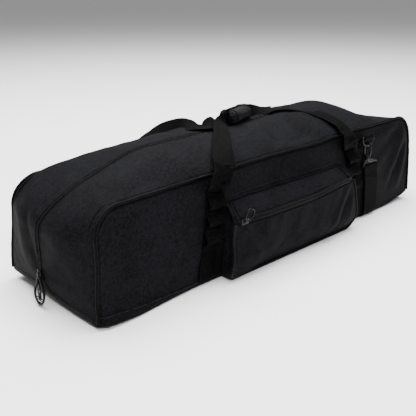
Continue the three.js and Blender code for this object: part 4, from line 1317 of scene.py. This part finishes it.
def hook_gate(name, turn):
    """The sprung gate that closes the hook, with its thumb rest."""
    path = [(0, -5.6, -13.6), (0, -6.6, -10), (0, -7.0, -4), (0, -7.0, 2), (0, -6.9, 6.4)]
    sizes = np.interp(np.arange(24), [0, 12, 23], [2.2, 1.8, 1.5])
    gate = tube("gate", turn * (HOOK_MIDDLE + spline(path, 24)), sizes, PLASTIC)
    rest = np.array([(-2.4, -8.6, -4), (0, -9.4, -4), (2.4, -8.6, -4)])
    thumb = tube("thumb", turn * (HOOK_MIDDLE + rest), 1.1, PLASTIC, around=8)
    obj = joined(f"hook_gate_{name}_bar", [gate, thumb])
    settle_piece(obj, f"hook_gate_{name}", "hardware", f"hook_gate_{name}")


def swivel_eye(name, turn):
    """The eye that the strap runs through: a loop, its lower bar, its neck and the web between them."""
    left, right = EYE_SHIFT - EYE_HALF, EYE_SHIFT + EYE_HALF
    path = [(left + 3, -20), (right - 3, -20), (right, -18.2), (right, -14.8), (right - 3, -12.8),
            (right - 12, -10.6), (12, -5.2), (0, -4.2), (-9, -7.6), (left + 2, -13), (left, -15.2),
            (left, -18.2)]
    points = closed_spline([(x, 0, z) for x, z in path], 110)
    loop = tube("loop", turn * (EYE + points), EYE_WIRE, PLASTIC, around=12, closed=True)
    slot = np.array([(left + 1, 0, -13.4), (right - 1, 0, -13.4)])
    slot_bar = tube("slot", turn * (EYE + slot), 1.5, PLASTIC)
    neck_path = np.array([(0, 0, -0.1), (0, 0, -0.8), (0, 0, -3.0), (1, 0, -6), (4, 0, -11)])
    neck = tube("neck", turn * (EYE + neck_path), np.array([3.2, 4.6, 4.4, 3.4, 2.4]), PLASTIC, around=16)
    x = np.array([-6, 0, 9, 22, 30.0])[:, None]
    z = np.stack([[-8.6, -5.4, -6.0, -9.4, -12.0], np.full(5, -13.4)], axis=-1)
    faces = [turn * (EYE + at(x, y, z)) for y in (-1.1, 1.1)]
    web = shell("web", *faces, PLASTIC)
    obj = joined(f"swivel_eye_{name}_loop", [loop, slot_bar, neck, web])
    settle_piece(obj, f"ring_{name}", "hardware", f"swivel_eye_{name}")


for NAME, WAY in TURN.items():
    for make in (ring_tab, d_ring, snap_hook, hook_gate, swivel_eye):
        make(NAME, WAY)

# ---- shoulder strap ----
STRAP_X = 276
STRAP_Y = 182  # where it lies on the floor behind the case
STRAP_THICK = 1.7
STRAP_FOLD = STRAP_Y + STRAP / 2
LOOP_X = EYE[0] + EYE_SHIFT


def strap_end(name, node, turn, tail):
    """Over the eye's lower bar, doubled back on itself, down to the floor and along the tail's stations."""
    x = LOOP_X
    over = [(-129.6, 88), (-129.2, 100), (-129.4, 110), (-129.8, 117), (-131.3, 120.6), (-133.4, 121.4),
            (-135.6, 120), (-136.4, 116)]
    path = [(x, y, z) for y, z in over]
    path += [(x + 1, -136.6, 106), (x + 3, -137.6, 88), (mix(x, STRAP_X, 0.6), -137.4, 60),
             (STRAP_X - 1, -137.0, 36), (STRAP_X, -136.4, 18)]
    stations = [(*(turn * place), turn[0], 0, 0) for place in path + [(STRAP_X, y, z) for y, z in tail]]
    parts = [strip("run", stations, STRAP_THICK, 300, WEBBING_CLOTH, STRAP)]
    x_line = np.linspace(-STRAP / 2 + 4, STRAP / 2 - 4, 30)
    for z, slant in ((111, 0), (97, 6), (91, 6)):
        line = turn * at(LOOP_X + 1.5 + x_line, -138.2, z + slant * x_line / 40)
        parts.append(stitches("row", line, [0, -turn[1], 0], THREAD, *STRAP_ROW))
    bend_piece(joined(f"{node}_run", parts), ("root", f"ring_{name}"), STRAP_BEND, "webbing", node)


def strap_behind():
    end = STRAP_X + STRAP / 2
    stations = []
    for x in np.linspace(-end + 1, end - 1, 61):
        z = 3.4 + 0.5 * math.sin(x / 29) * (130 < abs(x) < 250)
        stations.append((x, STRAP_Y, z, 0, 1, 0))
    obj = strip("strap_behind_run", stations, STRAP_THICK, 200, WEBBING_CLOTH, STRAP)
    settle_piece(obj, "root", "webbing", "strap_back")


def pad():
    """Stuffed shoulder pad, bound round its edge and quilted across."""
    middle_x, half_x, half_y = -10, 115, 31
    u = np.linspace(-1, 1, 90)[:, None]
    v = np.linspace(-1, 1, 34)[None]
    x = middle_x + u * half_x
    ease = (1 - np.abs(u) ** 7) ** (1 / 7)
    waist = half_y - 4 * (1 - np.abs(u) ** 2)
    y = STRAP_Y + v * waist * np.maximum(ease, 0.45)
    full = np.clip((1 - np.abs(u) ** 5) * (1 - np.abs(v) ** 4), 0, 1) ** 0.6
    quilt = np.abs(np.cos(u * math.pi * 3.5)) ** 0.35
    outer = at(x, y, 4.9 + 8.6 * full * (0.72 + 0.28 * quilt) + 0.25 * np.sin(x / 7) * full)
    obj = shell("shoulder_pad_cushion", outer, at(x, y, 4.4), PAD_CLOTH, LINING)
    settle_piece(obj, "root", "pad", "shoulder_pad")
    rim = np.concatenate([outer[:, 0], outer[-1, 1:-1], outer[::-1, -1], outer[0, -2:0:-1]])
    line = closed_spline(rim[::3], 260) + 0.4 * UP
    edge = tube("shoulder_pad_binding", line, 1.9, WEBBING_CLOTH, closed=True)
    settle_piece(edge, "root", "pad")
    for k, x in enumerate((-92, 72)):
        stations = [(x, STRAP_Y + f * 26.5, 5.4 + 8.4 * max(0, 1 - abs(f) ** 5) ** 0.5, *ALONG_X)
                    for f in np.linspace(-1, 1, 13)]
        keeper = strip(f"pad_keeper_{k + 1}", stations, 1.4, 60, WEBBING_CLOTH, 25)
        settle_piece(keeper, "root", "webbing")


def adjuster():
    middle = np.array([178.0, STRAP_Y, 6.2])
    path = [(-12, -27), (12, -27), (13.2, -25.6), (13.2, 25.6), (12, 27), (-12, 27), (-13.2, 25.6),
            (-13.2, -25.6)]
    points = middle + closed_spline([(x, y, 0) for x, y in path], 130)
    rim = tube("rim", points, 1.75, PLASTIC, closed=True)
    bar = tube("bar", middle + np.array([(0, -26.5, 0), (0, 0, 0.5), (0, 26.5, 0)]), 1.9, PLASTIC)
    settle_piece(joined("strap_adjuster_glide", [rim, bar]), "root", "hardware", "strap_adjuster")


# the front end passes under the case, the back end turns straight out behind it; both end in a fold
strap_end("front", "strap_front", TURN["front"],
          [(-133.4, 7), (-128.6, 2.6), (-121, 1.2), (-100, 1.0), (-50, 1.0), (0, 1.0), (60, 1.0), (120, 1.0),
           (160, 1.0), (STRAP_FOLD - 2, 1.2), (STRAP_FOLD + 0.4, 2.0), (STRAP_FOLD - 2, 2.9)])
strap_end("back", "strap_left", TURN["back"],
          [(-138, 7), (-144, 2.8), (-153, 1.3), (-165, 1.0), (-185, 1.0), (-STRAP_FOLD + 2, 1.1),
           (-STRAP_FOLD - 0.4, 2.0), (-STRAP_FOLD + 2, 2.9)])
strap_behind()
pad()
adjuster()

# ---- floor and light ----
FLOOR_WHITE = bpy.data.materials.new("floor_white")
FLOOR_WHITE.use_nodes = True
FLOOR_BODY = FLOOR_WHITE.node_tree.nodes["Principled BSDF"]
set_inputs(FLOOR_BODY, Base_Color=(0.9, 0.9, 0.9, 1), Roughness=0.9)
bpy.ops.mesh.primitive_plane_add(size=160, location=(0, 0, -0.0005))
FLOOR = bpy.context.object
FLOOR.name = "floor"
FLOOR.data.materials.append(FLOOR_WHITE)

WORLD = bpy.data.worlds.new("soft_sky")
bpy.context.scene.world = WORLD
WORLD.use_nodes = True
# the world's own light is plain white
set_inputs(WORLD.node_tree.nodes["Background"], Color=(1, 1, 1, 1), Strength=0.34)


def area_light(name, place, aim, size, power):
    data = bpy.data.lights.new(name, "AREA")
    data.size = size
    data.energy = power
    lamp = scene_object(name, data)
    lamp.location = place
    lamp.rotation_euler = (Vector(aim) - Vector(place)).to_track_quat("-Z", "Y").to_euler()


area_light("top_light", (0.3, 0.45, 3.0), (0.1, 0, 0), 3.2, 460)
area_light("front_key", (-0.95, -1.35, 1.35), (-0.3, 0, 0.1), 0.35, 26)
